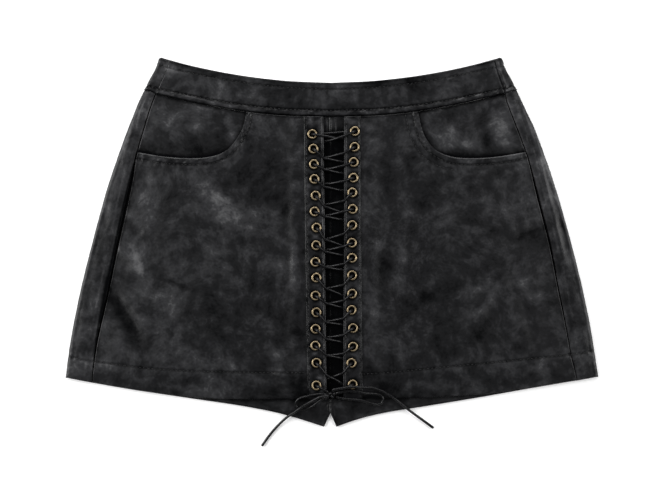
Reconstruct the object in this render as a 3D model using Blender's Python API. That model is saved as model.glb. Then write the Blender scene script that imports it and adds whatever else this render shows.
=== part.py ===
"""Black washed faux-leather skort, laid flat on its back.

The garment is a pair of shorts whose front is covered by a short skirt. The skirt front is open down the
middle, edged with two eyelet strips and laced together with one cord that ends in a bow at the hem.

Frame: +X to the right as one looks at the front, +Y towards the waist, +Z up from the surface that the
garment lies on. The origin is the centre of its footprint, on that surface. "Left" and "right" are as
seen from the front. All sizes below are in millimetres; "down" is the distance below the upper corners
of the waistband, and "across" runs from 0 at the centre line to 1 at the side of the garment.
"""
from collections import namedtuple
from math import cos, pi, radians, sin

import bmesh
import bpy
import numpy as np
from mathutils import Vector

# ---------------------------------------------------------------- driving dimensions (mm)
MM = 0.001
LENGTH = 369.6                 # waistband corners to the tips of the legs
CENTRE_X = -1.5                # centre front and centre back seam
CLOTH = 1.2                    # faux leather with its backing
BAND = 2.2                     # doubled waistband
STRIP = 1.0                    # eyelet strip
GAP = 0.3                      # clearance between neighbouring pieces
FOLD_RADIUS = 2.4              # outer radius where the back wraps round to the front
CROTCH_DOWN = 356.0            # where the two legs part
TUCK = 3.0                     # how far the shorts' front goes under the side wrap

# Undersides of the layers, from the surface up.
SHORTS_Z = CLOTH + GAP
FACING_Z = SHORTS_Z + CLOTH + GAP
SKIRT_Z = FACING_Z + CLOTH + GAP
BAND_Z = 3.6
LACE_ROOM = 1.4                # extra height of the skirt front where the cord runs below it
HEM_DROP = 1.2                 # how far the skirt front comes down to the legs at its hem
SKIRT_PUFF = 0.9               # the skirt front's rise between its seams
WRAP_PUFF = 0.9                # the same for the side wraps
BAND_PUFF = 0.5

STRIP_TOP = SKIRT_Z + LACE_ROOM + CLOTH + GAP + STRIP

# Where the skirt front changes height, as distances down, or out from its strip or in from its side seam.
LACED_FROM = (60, 70)
LACED_TO = (332.5, 341.5)
BESIDE_LACING = (2, 26)
HEM_FALL = (314, 336)
PUFF_FROM, PUFF_TO = (60, 130), (260, 320)
PUFF_IN, PUFF_OUT = (4, 60), (0, 50)

# Eyelets
EYELET_FLANGE = 5.0            # outer radius
EYELET_HOLE = 3.0
EYELET_BARREL = 3.35
EYELET_PUNCH = 3.8             # radius of the holes in the cloth
PUNCH_SIDES = 8
EYELET_HEIGHT = 1.0
EYELET_ROLL = 0.8
EYELET_SIDES = 12

# Lace
LACE = 2.6                     # diameter
LACE_LOW = FACING_Z + LACE / 2 + 0.05          # centre line below the skirt front
LACE_HIGH = STRIP_TOP + GAP + LACE / 2 + 0.05  # centre line on the eyelet strips
LACE_CROWN = LACE_HIGH + 1.3                   # centre line over an eyelet's flange
LACE_STEP = 6.0                # longest stretch between two points of the laced part's tube
BOW_STEP = 4.6                 # the same for the bow

# Half the garment's width, and how far the back wraps forward, at several heights.
Side = namedtuple("Side", "down left right wrap_left wrap_right")
SIDES = (
    Side(0, 173.0, 170.0, 10.5, 8.0),
    Side(12, 177.5, 174.5, 12.5, 9.5),
    Side(22, 183.0, 180.0, 13.5, 11.5),
    Side(32, 188.0, 185.0, 14.0, 13.0),
    Side(45, 194.0, 191.0, 14.5, 16.0),
    Side(70, 204.0, 202.5, 16.5, 18.0),
    Side(100, 215.0, 214.0, 19.0, 18.5),
    Side(140, 228.0, 227.0, 23.0, 21.0),
    Side(190, 241.5, 241.0, 26.0, 22.5),
    Side(240, 253.5, 253.0, 28.0, 25.0),
    Side(290, 263.0, 262.5, 27.0, 25.0),
    Side(321, 267.0, 267.0, 27.5, 22.5),
)

# Distances down at which the side seam crosses the waistband's edges, and of its lower edge at the centre.
SIDE_HIGH = 2.5
SIDE_LOW = 35.5
WAIST_LOW = 59.0

# The waistband's upper and lower edges.
Waist = namedtuple("Waist", "across upper lower")
WAIST = (
    Waist(0.0, 25.2, WAIST_LOW),
    Waist(0.2, 23.8, 58.0),
    Waist(0.4, 20.4, 54.8),
    Waist(0.6, 15.2, 49.0),
    Waist(0.8, 8.3, 41.3),
    Waist(1.0, 0.0, 32.8),
)

# The lower edge of the legs.
LegHem = namedtuple("LegHem", "across left right")
LEG_HEM = (
    LegHem(0.0, 369.6, 369.6),
    LegHem(0.06, 364.6, 364.0),
    LegHem(0.12, 359.8, 359.3),
    LegHem(0.2, 354.5, 354.8),
    LegHem(0.32, 348.6, 349.8),
    LegHem(0.52, 340.9, 341.2),
    LegHem(0.75, 332.0, 330.6),
    LegHem(1.0, 320.5, 319.5),
)

# The lower edge of the skirt front, across from its opening (0) to the side seam (1).
SkirtHem = namedtuple("SkirtHem", "across left right")
SKIRT_HEM = (
    SkirtHem(0.0, 341.5, 341.5),
    SkirtHem(0.2, 342.0, 340.8),
    SkirtHem(0.37, 341.7, 340.0),
    SkirtHem(0.55, 340.3, 337.5),
    SkirtHem(0.63, 338.4, 336.0),
    SkirtHem(0.8, 333.0, 330.3),
    SkirtHem(1.0, 324.2, 322.8),
)

# The edge of the pocket opening, from the waistband to the side seam.
Pocket = namedtuple("Pocket", "left right down")
POCKET = (
    Pocket(85.5, 86.0, 54.0),
    Pocket(88.5, 89.0, 68.0),
    Pocket(94.5, 93.5, 80.0),
    Pocket(103.5, 102.0, 91.0),
    Pocket(115.0, 114.0, 97.5),
    Pocket(130.0, 128.0, 100.3),
    Pocket(148.0, 147.0, 100.6),
    Pocket(170.0, 168.0, 98.8),
    Pocket(196.0, 194.0, 94.5),
)

# The lower edge of the piece behind the pocket opening, hidden below the skirt front.
FacingEdge = namedtuple("FacingEdge", "across down")
FACING_EDGE = (
    FacingEdge(0.0, 76.0),
    FacingEdge(0.1, 94.0),
    FacingEdge(0.3, 108.0),
    FacingEdge(0.6, 111.0),
    FacingEdge(1.0, 106.0),
)
FACING_INNER = 79.0            # its inner edge, from the centre of the garment

# The two edges of each eyelet strip.
Placket = namedtuple("Placket", "down left_inner left_outer right_inner right_outer")
PLACKET = (
    Placket(50, -8.7, -28.2, 12.0, 28.5),
    Placket(150, -7.4, -27.2, 12.0, 29.0),
    Placket(260, -6.2, -25.6, 11.4, 30.0),
    Placket(345, -5.2, -24.4, 11.0, 30.6),
)
PLACKET_SETBACK = 0.6          # the skirt front's edge stops this far inside its strip's

# Eyelets, and where the cord crosses the inner edge of its own strip (out) and of the other one (in).
Row = namedtuple("Row", "left_x left_down left_out right_in right_x right_down right_out left_in")
ROWS = (
    Row(-19.6, 76.9, 78.8, 81.5, 22.9, 74.0, 79.0, 84.6),
    Row(-18.6, 91.5, 100.8, 104.5, 22.6, 89.7, 95.9, 100.5),
    Row(-18.0, 106.9, 112.0, 116.2, 21.7, 104.9, 108.4, 112.3),
    Row(-17.5, 121.8, 129.5, 133.3, 21.4, 120.5, 123.9, 127.0),
    Row(-16.3, 138.3, 149.0, 155.5, 20.3, 135.2, 143.5, 147.5),
    Row(-17.3, 154.2, 159.0, 162.5, 20.7, 151.7, 154.0, 158.7),
    Row(-15.4, 170.2, 181.8, 188.5, 20.2, 167.8, 176.2, 182.3),
    Row(-15.8, 187.9, 194.1, 198.0, 19.9, 185.4, 188.9, 193.1),
    Row(-16.6, 204.5, 209.5, 212.8, 20.0, 200.5, 206.3, 209.7),
    Row(-15.6, 220.1, 230.5, 238.0, 20.1, 217.8, 227.1, 231.3),
    Row(-16.4, 238.1, 245.3, 250.5, 20.1, 236.2, 242.8, 246.8),
    Row(-15.5, 254.7, 264.3, 267.5, 19.6, 252.4, 260.5, 264.3),
    Row(-16.4, 271.3, 280.9, 285.0, 21.0, 270.5, 277.2, 280.3),
    Row(-16.6, 288.0, 297.1, 301.3, 21.0, 289.0, 295.7, 298.1),
    Row(-15.5, 305.1, 317.0, 326.3, 19.4, 305.3, 314.8, 322.0),
    Row(-15.6, 327.7, 333.3, None, 20.7, 326.7, 330.5, None),
)

# How the cord comes down across the opening: share of the way, share of the drop.
Fall = namedtuple("Fall", "way drop")
FALLS = (Fall(0.3, 0.16), Fall(0.7, 0.84))

# The bow's knot, an ellipsoid.
KNOT_CENTRE = (0.0, 336.7, 8.7)
KNOT_HALF = (4.6, 3.6, 3.5)
KNOT_CLEAR = 0.8               # from the knot to the end of each cord that goes into it
KNOT_LEAD = 3.2                # from the knot to the cord's next point

# Where a cord meets the knot, in degrees round from +X towards +Y, and up; and where it lies after that.
Entry = namedtuple("Entry", "turn rise")
Stop = namedtuple("Stop", "x down height")
Bow = namedtuple("Bow", "name leaves stops returns")
LACE_ENTRY = {"left": Entry(150, 12), "right": Entry(50, -5)}
BOWS = (
    Bow("bow_loop_left", Entry(180, 5), (
        Stop(-13.3, 336.3, 9.5),
        Stop(-22.8, 338.0, 8.9),
        Stop(-29.4, 339.5, 7.6),
        Stop(-34.0, 342.0, 6.6),
        Stop(-36.3, 346.0, 5.4),
        Stop(-34.8, 349.8, 4.8),
        Stop(-30.0, 351.8, 4.7),
        Stop(-24.3, 350.9, 4.9),
        Stop(-19.1, 348.4, 5.8),
        Stop(-14.7, 344.8, 7.2),
        Stop(-10.3, 341.6, 8.3),
    ), Entry(212, -2)),
    Bow("bow_tail_left", Entry(191, 38), (
        Stop(-11.8, 338.8, 11.7),
        Stop(-16.2, 341.0, 10.3),
        Stop(-21.3, 343.9, 8.9),
        Stop(-26.5, 346.8, 8.0),
        Stop(-31.6, 350.3, 7.7),
        Stop(-36.0, 353.5, 6.5),
        Stop(-42.6, 357.9, 4.8),
        Stop(-47.0, 361.5, 3.4),
        Stop(-52.0, 366.2, 2.0),
        Stop(-58.0, 372.6, 1.45),
        Stop(-64.0, 380.0, 1.45),
        Stop(-69.7, 388.1, 1.45),
    ), None),
    Bow("bow_loop_right", Entry(19, 18), (
        Stop(11.7, 333.4, 11.2),
        Stop(17.6, 332.8, 11.1),
        Stop(24.9, 333.7, 10.4),
        Stop(30.5, 334.8, 9.7),
        Stop(36.0, 335.7, 8.5),
        Stop(41.0, 336.1, 7.6),
        Stop(45.8, 336.7, 7.0),
        Stop(49.6, 338.6, 6.8),
        Stop(51.1, 342.0, 6.5),
        Stop(49.6, 345.6, 6.0),
        Stop(45.8, 347.2, 5.7),
        Stop(40.8, 346.3, 5.9),
        Stop(35.5, 344.5, 6.6),
        Stop(30.0, 343.0, 7.4),
        Stop(24.0, 342.0, 8.0),
        Stop(17.8, 341.5, 8.2),
        Stop(11.7, 340.8, 8.3),
    ), Entry(-25, -5)),
    Bow("bow_tail_right", Entry(73, 35), (
        Stop(8.8, 330.2, 13.8),
        Stop(16.8, 328.9, 14.0),
        Stop(24.0, 328.7, 13.1),
        Stop(30.0, 329.2, 11.2),
        Stop(36.0, 329.7, 9.6),
        Stop(41.0, 330.3, 8.8),
        Stop(49.8, 333.3, 8.1),
        Stop(55.7, 336.6, 7.4),
        Stop(63.0, 341.4, 6.8),
        Stop(68.0, 345.3, 5.9),
        Stop(73.5, 349.8, 5.1),
        Stop(77.5, 353.0, 4.6),
        Stop(83.0, 357.2, 2.9),
        Stop(89.0, 361.6, 1.6),
        Stop(95.0, 366.0, 1.45),
        Stop(100.9, 370.3, 1.45),
    ), None),
)

# ---------------------------------------------------------------- smooth curves through short tables


def monotone(xs, ys, x):
    """Value at x of a smooth curve through (xs, ys) that never overshoots its points."""
    xs, ys, x = np.asarray(xs, float), np.asarray(ys, float), np.asarray(x, float)
    step = np.diff(xs)
    slope = np.diff(ys) / step
    tangent = np.zeros_like(ys)
    same_way = slope[:-1] * slope[1:] > 0
    mean = 2 * slope[:-1] * slope[1:] / np.where(same_way, slope[:-1] + slope[1:], 1.0)
    tangent[1:-1] = np.where(same_way, mean, 0.0)
    tangent[0], tangent[-1] = slope[0], slope[-1]
    i = np.clip(np.searchsorted(xs, x, side="right") - 1, 0, len(step) - 1)
    t = np.clip((x - xs[i]) / step[i], 0.0, 1.0)
    start = ys[i] * (2 * t**3 - 3 * t**2 + 1) + tangent[i] * step[i] * (t**3 - 2 * t**2 + t)
    return start + ys[i + 1] * (3 * t**2 - 2 * t**3) + tangent[i + 1] * step[i] * (t**3 - t**2)


def read(table, key, column, at):
    """Column of a table of named rows, read at a value of its key."""
    return monotone([getattr(r, key) for r in table], [getattr(r, column) for r in table], at)


def smoothstep(low, high, x):
    t = np.clip((np.asarray(x, float) - low) / (high - low), 0.0, 1.0)
    return t * t * (3 - 2 * t)


def along(points, fractions):
    """Points at the given fractions of a polyline's length."""
    points = np.asarray(points, float)
    length = np.concatenate([[0], np.cumsum(np.linalg.norm(np.diff(points, axis=0), axis=1))])
    at = np.asarray(fractions) * length[-1]
    return np.stack([np.interp(at, length, points[:, k]) for k in range(points.shape[1])], axis=1)


def catmull_rom(points, longest):
    """Points of a smooth curve through the given ones, no further apart than the longest step."""
    points = np.asarray(points, float)
    padded = np.vstack([2 * points[0] - points[1], points, 2 * points[-1] - points[-2]])
    out = [points[0]]
    for a, b, c, d in zip(padded, padded[1:], padded[2:], padded[3:]):
        parts = max(1, int(np.ceil(np.linalg.norm(c - b) / longest)))
        for t in np.arange(1, parts + 1) / parts:
            out.append(0.5 * (2 * b + (c - a) * t + (2 * a - 5 * b + 4 * c - d) * t**2
                              + (3 * b - a - 3 * c + d) * t**3))
    return np.array(out)


# ---------------------------------------------------------------- the garment's plan


class Half:
    """One half of the garment in plan; sign is -1 for the left half and +1 for the right."""

    def __init__(self, name, sign, leg_tip):
        self.name, self.sign, self.leg_tip = name, sign, leg_tip

    def outline(self, down):
        """X of the garment's outer fold."""
        return self.sign * read(SIDES, "down", self.name, down)

    def side_seam(self, down):
        """X of the seam between the back, wrapped forward, and the front."""
        return self.outline(down) - self.sign * read(SIDES, "down", "wrap_" + self.name, down)

    def inner_edge(self, down):
        """X of the centre seam, and below the crotch of the leg's inner edge."""
        parted = np.clip((np.asarray(down, float) - CROTCH_DOWN) / (LENGTH - CROTCH_DOWN), 0, 1)
        return CENTRE_X + parted * (self.leg_tip - CENTRE_X) + self.sign * GAP / 2

    def leg_hem(self, across):
        """Distance down to the leg's hem; across runs from the leg's tip to the outer fold."""
        return read(LEG_HEM, "across", self.name, across)

    def leg_hem_at(self, x):
        """The same at a given X."""
        return self.leg_hem((np.asarray(x, float) - self.leg_tip) / (self.outline(LENGTH) - self.leg_tip))

    def skirt_hem(self, across):
        """Distance down to the skirt front's hem; across runs from its opening to the side seam."""
        return read(SKIRT_HEM, "across", self.name, across)

    def waist_seam(self, x):
        """Distance down to the waistband's lower edge at a given X."""
        across = np.linspace(0, 1, 101)
        down = read(WAIST, "across", "lower", across)
        x_of = CENTRE_X + across * (self.outline(down) - CENTRE_X)
        return np.interp(self.sign * np.asarray(x, float), self.sign * x_of, down)

    def seam_reach(self, down):
        """How far out the side seam lies, as a share of the way to the outer fold."""
        return (self.side_seam(down) - CENTRE_X) / (self.outline(down) - CENTRE_X)

    def placket(self, edge, down):
        """X of the inner or outer edge of the eyelet strip."""
        return read(PLACKET, "down", f"{self.name}_{edge}", down)

    def eyelet(self, row):
        """Plan point of the eyelet in a row of ROWS."""
        return np.array([getattr(row, self.name + "_x"), getattr(row, self.name + "_down")])

    def crossing(self, row, way):
        """Plan point where the cord crosses this half's inner edge, out of or in to an eyelet."""
        down = getattr(row, f"{self.name}_{way}")
        return np.array([float(self.placket("inner", down)), down])


LEFT, RIGHT = Half("left", -1, -8.0), Half("right", 1, 4.5)
HALVES = (LEFT, RIGHT)


def edge(x, down):
    """Plan points of one edge of a panel."""
    x, down = np.broadcast_arrays(np.asarray(x, float), np.asarray(down, float))
    return np.stack([x, down], axis=-1)


def patch(top, bottom, start, end, shares=None):
    """Coons patch of plan points between four edges; its rows lie at the shares of the way down."""
    u = np.linspace(0, 1, len(top))[None, :, None]
    v = (np.linspace(0, 1, len(start)) if shares is None else np.asarray(shares))[:, None, None]
    ruled = (1 - v) * top[None] + v * bottom[None]
    turned = (1 - u) * start[:, None] + u * end[:, None]
    corners = ((1 - u) * (1 - v) * top[0] + u * (1 - v) * top[-1]
               + (1 - u) * v * bottom[0] + u * v * bottom[-1])
    return ruled + turned - corners


# ---------------------------------------------------------------- heights


def skirt_height(half, x, down):
    """Underside of the skirt front: raised over the cord and between its seams, lowered at the hem."""
    beyond = half.sign * (x - half.placket("outer", down))
    to_seam = half.sign * (half.side_seam(down) - x)
    laced = 1 - smoothstep(*BESIDE_LACING, beyond)
    room = laced * smoothstep(*LACED_FROM, down) * (1 - smoothstep(*LACED_TO, down))
    drop = (1 - laced) * smoothstep(*HEM_FALL, down) + laced * smoothstep(*LACED_TO, down)
    across = smoothstep(*PUFF_IN, beyond) * smoothstep(*PUFF_OUT, to_seam)
    puff = across * smoothstep(*PUFF_FROM, down) * (1 - smoothstep(*PUFF_TO, down))
    return SKIRT_Z + LACE_ROOM * room + SKIRT_PUFF * puff - HEM_DROP * drop


def band_height(share):
    """Underside of the waistband's front; the share runs down it from 0 to 1."""
    return BAND_Z + BAND_PUFF * np.sin(pi * share)


# ---------------------------------------------------------------- objects


def make_material(name, colour, roughness, metallic=0.0):
    """A Principled material of one plain finish."""
    made = bpy.data.materials.new(name)
    made.use_nodes = True
    shader = made.node_tree.nodes["Principled BSDF"]
    shader.inputs["Base Color"].default_value = (*colour, 1.0)
    shader.inputs["Roughness"].default_value = roughness
    shader.inputs["Metallic"].default_value = metallic
    return made


def lift(plan, height):
    """Points in metres from plan points (x, down) and their heights."""
    return np.stack([plan[..., 0], LENGTH / 2 - plan[..., 1], height + 0 * plan[..., 0]], axis=-1) * MM


def link(name, data, finish):
    """An object in the scene for a mesh or curve."""
    data.materials.append(finish)
    made = bpy.data.objects.new(name, data)
    bpy.context.scene.collection.objects.link(made)
    return made


def mesh_of(name, bm):
    """The mesh that a bmesh holds, its faces turned outwards."""
    bmesh.ops.recalc_face_normals(bm, faces=bm.faces)
    mesh = bpy.data.meshes.new(name)
    bm.to_mesh(mesh)
    bm.free()
    return mesh


def wall(name, outer, inner, finish):
    """A closed wall of cloth between two grids of points that match row by row."""
    bm = bmesh.new()
    rows, columns = outer.shape[:2]
    faces = [[[bm.verts.new(Vector(point)) for point in row] for row in grid] for grid in (outer, inner)]
    for grid in faces:
        for r in range(rows - 1):
            for c in range(columns - 1):
                bm.faces.new((grid[r][c], grid[r][c + 1], grid[r + 1][c + 1], grid[r + 1][c]))
    rim = [(0, c) for c in range(columns - 1)] + [(r, columns - 1) for r in range(rows - 1)]
    rim += [(rows - 1, c) for c in range(columns - 1, 0, -1)] + [(r, 0) for r in range(rows - 1, 0, -1)]
    for (r0, c0), (r1, c1) in zip(rim, rim[1:] + rim[:1]):
        bm.faces.new((faces[0][r0][c0], faces[0][r1][c1], faces[1][r1][c1], faces[1][r0][c0]))
    return link(name, mesh_of(name, bm), finish)


def panel(name, plan, underside, thickness, finish):
    """A cloth panel over a grid of plan points, from its underside up."""
    return wall(name, lift(plan, underside + thickness), lift(plan, underside), finish)


def turned(name, profile, centre, sides, finish):
    """A closed ring turned about the vertical through a plan point; profile rows are (radius, z)."""
    bm = bmesh.new()
    rings = []
    for side in range(sides):
        angle = 2 * pi * side / sides
        plan = np.array([[centre[0] + r * cos(angle), centre[1] - r * sin(angle)] for r, _ in profile])
        rings.append([bm.verts.new(Vector(p)) for p in lift(plan, np.array([z for _, z in profile]))])
    for ring, following in zip(rings, rings[1:] + rings[:1]):
        for k in range(len(profile)):
            bm.faces.new((ring[k], following[k], following[k - 1], ring[k - 1]))
    mesh = mesh_of(name, bm)
    mesh.shade_smooth()
    mesh.set_sharp_from_angle(angle=radians(50))
    return link(name, mesh, finish)


def cord(name, route, step, finish):
    """A tube along a smooth curve through route points (x, down, height)."""
    points = catmull_rom(route, step)
    curve = bpy.data.curves.new(name, "CURVE")
    curve.dimensions = "3D"
    curve.bevel_depth = LACE / 2 * MM
    curve.bevel_resolution = 2
    curve.use_fill_caps = True
    spline = curve.splines.new("POLY")
    spline.points.add(len(points) - 1)
    for point, place in zip(spline.points, lift(points[:, :2], points[:, 2])):
        point.co = (*place, 1.0)
    return link(name, curve, finish)


def punch(name, half, targets):
    """Cut the eyelet holes of one half through its layers."""
    bm = bmesh.new()
    for row in ROWS:
        x, down = half.eyelet(row)
        made = bmesh.ops.create_cone(bm, cap_ends=True, segments=PUNCH_SIDES, depth=8 * MM,
                                     radius1=EYELET_PUNCH * MM, radius2=EYELET_PUNCH * MM)
        centre = Vector(lift(np.array([x, down]), STRIP_TOP - 2.0))
        bmesh.ops.translate(bm, verts=made["verts"], vec=centre)
    cutter = bpy.data.objects.new(name, mesh_of(name, bm))
    bpy.context.scene.collection.objects.link(cutter)
    cutter.hide_render = True
    cutter.display_type = "WIRE"
    for target in targets:
        cut = target.modifiers.new("eyelet holes", "BOOLEAN")
        cut.operation = "DIFFERENCE"
        cut.object = cutter


# ---------------------------------------------------------------- layers that wrap round the sides

# A column of a wrapped layer: share of the flat part, turn of the side fold in degrees, share of the wrap.
Column = namedtuple("Column", "flat turn wrap")


def wrapped_columns(flat, fold, wrap):
    """Columns from the centre, over the flat part, round the fold and in to the side seam."""
    columns = [Column(share, -90, 0) for share in np.linspace(0, 1, flat + 1)]
    columns += [Column(1, angle, 0) for angle in np.linspace(-90, 90, fold + 1)[1:]]
    return columns + [Column(1, 90, share) for share in np.linspace(0, 1, wrap + 1)[1:]]


def column_across(half, column, down):
    """Where a column lies between the centre line and the outer fold."""
    return column.flat - (1 - half.seam_reach(down)) * column.wrap


def wrapped_layer(half, column, down, inner_x, thickness, radius, seam_top, puff):
    """Outer and inner plan points and heights of one column of a layer wrapped round the side."""
    fold_x = half.outline(down) - half.sign * radius
    seam_x = half.side_seam(down) + half.sign * GAP / 2
    turn, inside = radians(column.turn), radius - thickness
    if column.wrap:
        x = fold_x + column.wrap * (seam_x - fold_x)
        top = 2 * radius + column.wrap * (seam_top - 2 * radius) + puff * sin(pi * column.wrap)
        outer, inner = (x, top), (x, top - thickness)
    elif column.turn > -90:
        outer = (fold_x + half.sign * radius * cos(turn), radius + radius * sin(turn))
        inner = (fold_x + half.sign * inside * cos(turn), radius + inside * sin(turn))
    else:
        x = inner_x + column.flat * (fold_x - inner_x)
        outer, inner = (x, 0.0), (x, thickness)
    return lift(edge(outer[0], down), outer[1]), lift(edge(inner[0], down), inner[1])


def back_panel(half, finish):
    """Half of the back: flat on the surface, its side wrapped forward to the side seam."""
    waist = read(WAIST, "across", "lower", 0)
    crotch = (CROTCH_DOWN - waist) / (LENGTH - waist)
    shares = np.append(crotch * np.linspace(0, 1, 14) ** 1.25, 1.0)
    outer, inner = [], []
    for column in wrapped_columns(5, 6, 3):
        top = read(WAIST, "across", "lower", column_across(half, column, SIDE_LOW)) + GAP
        across = column_across(half, column, LENGTH)
        down = top + shares * (half.leg_hem(across) - top)
        layer = wrapped_layer(half, column, down, half.inner_edge(down), CLOTH, FOLD_RADIUS,
                              FACING_Z + CLOTH, WRAP_PUFF)
        outer.append(layer[0])
        inner.append(layer[1])
    return wall(f"back_panel_{half.name}", np.array(outer), np.array(inner), finish)


def waistband_back(finish):
    """The back of the waistband, wrapped forward at both sides."""
    shares = np.linspace(0, 1, 5)
    sides = []
    for half in HALVES:
        outer, inner = [], []
        for column in wrapped_columns(5, 6, 2):
            top = read(WAIST, "across", "upper", column_across(half, column, SIDE_HIGH))
            low = read(WAIST, "across", "lower", column_across(half, column, SIDE_LOW))
            down = top + shares * (low - top)
            layer = wrapped_layer(half, column, down, CENTRE_X, BAND, BAND_Z / 2 + BAND / 2,
                                  band_height(shares) + BAND, 0.0)
            outer.append(layer[0])
            inner.append(layer[1])
        sides.append((outer, inner))
    outer, inner = (list(reversed(sides[0][k])) + sides[1][k][1:] for k in range(2))
    return wall("waistband_back", np.array(outer), np.array(inner), finish)


# ---------------------------------------------------------------- front pieces


def waistband_front(finish):
    """The front of the waistband, between its two side seams."""
    shares, columns = np.linspace(0, 1, 5), []
    for half, places in ((LEFT, np.linspace(1, 0, 15)), (RIGHT, np.linspace(0, 1, 15)[1:])):
        for place in places:
            top = read(WAIST, "across", "upper", place * half.seam_reach(SIDE_HIGH))
            low = read(WAIST, "across", "lower", place * half.seam_reach(SIDE_LOW))
            down = top + shares * (low - top)
            seam = half.side_seam(down) - half.sign * GAP / 2
            columns.append(edge(CENTRE_X + place * (seam - CENTRE_X), down))
    plan = np.array(columns)
    return panel("waistband_front", plan, band_height(shares)[None, :], BAND, finish)


def shorts_front(half, finish):
    """Half of the shorts' front with its leg; its side lies just under the wrap."""
    tuck = half.sign * TUCK
    top_down = half.waist_seam(half.side_seam(SIDE_LOW) + tuck)
    top_x = np.linspace(CENTRE_X + half.sign * GAP / 2, half.side_seam(top_down) + tuck, 9)
    top = edge(top_x, half.waist_seam(top_x) + GAP)
    bottom_x = np.linspace(half.leg_tip, half.side_seam(LENGTH) + tuck, 9)
    bottom = edge(bottom_x, half.leg_hem_at(bottom_x))
    crotch = (CROTCH_DOWN - top[0, 1]) / (LENGTH - top[0, 1])
    shares = np.append(np.linspace(0, crotch, 10), 1.0)
    start_down = top[0, 1] + shares * (bottom[0, 1] - top[0, 1])
    end_down = top[-1, 1] + shares * (bottom[-1, 1] - top[-1, 1])
    start = edge(half.inner_edge(start_down), start_down)
    end = edge(half.side_seam(end_down) + tuck, end_down)
    plan = patch(top, bottom, start, end, shares)
    return panel(f"shorts_front_{half.name}", plan, SHORTS_Z, CLOTH, finish)


def pocket_edge(half):
    """Plan points of the pocket opening's edge, from the waistband to the side seam."""
    route = np.array([(half.sign * getattr(p, half.name), p.down) for p in POCKET])
    curve = catmull_rom(route, 2.0)
    to_seam = half.sign * (half.side_seam(curve[:, 1]) - curve[:, 0])
    inside = (to_seam > GAP) & (curve[:, 1] > half.waist_seam(curve[:, 0]) + GAP)
    return curve[inside]


# Rows of the skirt front and its strip, as shares of the way down: close together at the ends.
FRONT_ROWS = np.array([0, 0.037, *np.linspace(0.1, 0.97, 12), 1.0])


def skirt_plan(half):
    """Plan of the skirt front: opening, waistband, pocket opening, side seam and hem."""
    inner = half.sign * PLACKET_SETBACK
    pocket = pocket_edge(half)
    waist_x = np.linspace(float(half.placket("inner", WAIST_LOW)) + inner, pocket[0, 0], 6)
    top = np.vstack([edge(waist_x, half.waist_seam(waist_x) + GAP), along(pocket, np.linspace(0, 1, 12)[1:])])
    corner_down = top[-1, 1]
    top[-1, 0] = half.side_seam(corner_down) - half.sign * GAP / 2
    across = np.linspace(0, 1, len(top))
    hem_start = float(half.placket("inner", half.skirt_hem(0.0))) + inner
    hem_end = half.side_seam(half.skirt_hem(1.0)) - half.sign * GAP / 2
    bottom = edge(hem_start + across * (hem_end - hem_start), half.skirt_hem(across))
    start_down = top[0, 1] + FRONT_ROWS * (bottom[0, 1] - top[0, 1])
    end_down = corner_down + FRONT_ROWS * (bottom[-1, 1] - corner_down)
    start = edge(half.placket("inner", start_down) + inner, start_down)
    end = edge(half.side_seam(end_down) - half.sign * GAP / 2, end_down)
    return patch(top, bottom, start, end, FRONT_ROWS)


def skirt_front(half, finish):
    """One side of the skirt front, from its laced opening to the side seam."""
    plan = skirt_plan(half)
    underside = skirt_height(half, plan[..., 0], plan[..., 1])
    return panel(f"skirt_front_{half.name}", plan, underside, CLOTH, finish)


def pocket_facing(half, finish):
    """The piece seen through the pocket opening, its lower edge under the skirt front."""
    across = np.linspace(0, 1, 9)
    seam = half.side_seam(SIDE_LOW) - half.sign * GAP / 2
    top_x = half.sign * FACING_INNER + across * (seam - half.sign * FACING_INNER)
    top = edge(top_x, half.waist_seam(top_x) + GAP)
    top[-1, 0] = half.side_seam(top[-1, 1]) - half.sign * GAP / 2
    low_down = read(FACING_EDGE, "across", "down", across)
    low_end = half.side_seam(low_down[-1]) - half.sign * GAP / 2
    bottom = edge(half.sign * FACING_INNER + across * (low_end - half.sign * FACING_INNER), low_down)
    start = edge(half.sign * FACING_INNER, np.linspace(top[0, 1], low_down[0], 9))
    end_down = np.linspace(top[-1, 1], low_down[-1], 9)
    end = edge(half.side_seam(end_down) - half.sign * GAP / 2, end_down)
    return panel(f"pocket_facing_{half.name}", patch(top, bottom, start, end), FACING_Z, CLOTH, finish)


def eyelet_strip(half, finish):
    """The strip that carries the eyelets, on the skirt front's opening edge."""
    hem = float(half.skirt_hem(0.0))
    top_x = np.linspace(half.placket("inner", WAIST_LOW), half.placket("outer", WAIST_LOW), 4)
    top = edge(top_x, half.waist_seam(top_x) + GAP)
    bottom = edge(np.linspace(half.placket("inner", hem), half.placket("outer", hem), 4), hem)
    start_down = top[0, 1] + FRONT_ROWS * (hem - top[0, 1])
    end_down = top[-1, 1] + FRONT_ROWS * (hem - top[-1, 1])
    plan = patch(top, bottom, edge(half.placket("inner", start_down), start_down),
                 edge(half.placket("outer", end_down), end_down), FRONT_ROWS)
    underside = skirt_height(half, plan[..., 0], plan[..., 1]) + CLOTH + GAP
    return panel(f"eyelet_strip_{half.name}", plan, underside, STRIP, finish)


def eyelet(half, number, row, finish):
    """An eyelet: a rolled flange on the strip and a barrel through both layers."""
    seat = STRIP_TOP + GAP
    foot = SKIRT_Z + LACE_ROOM + GAP
    crown = seat + EYELET_HEIGHT
    profile = ((EYELET_HOLE, foot), (EYELET_BARREL, foot), (EYELET_BARREL, seat), (EYELET_FLANGE, seat),
               (EYELET_FLANGE - EYELET_ROLL, crown), (EYELET_HOLE + EYELET_ROLL, crown), (EYELET_HOLE, seat))
    return turned(f"eyelet_{half.name}_{number:02d}", profile, half.eyelet(row), EYELET_SIDES, finish)


# ---------------------------------------------------------------- the cord

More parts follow.
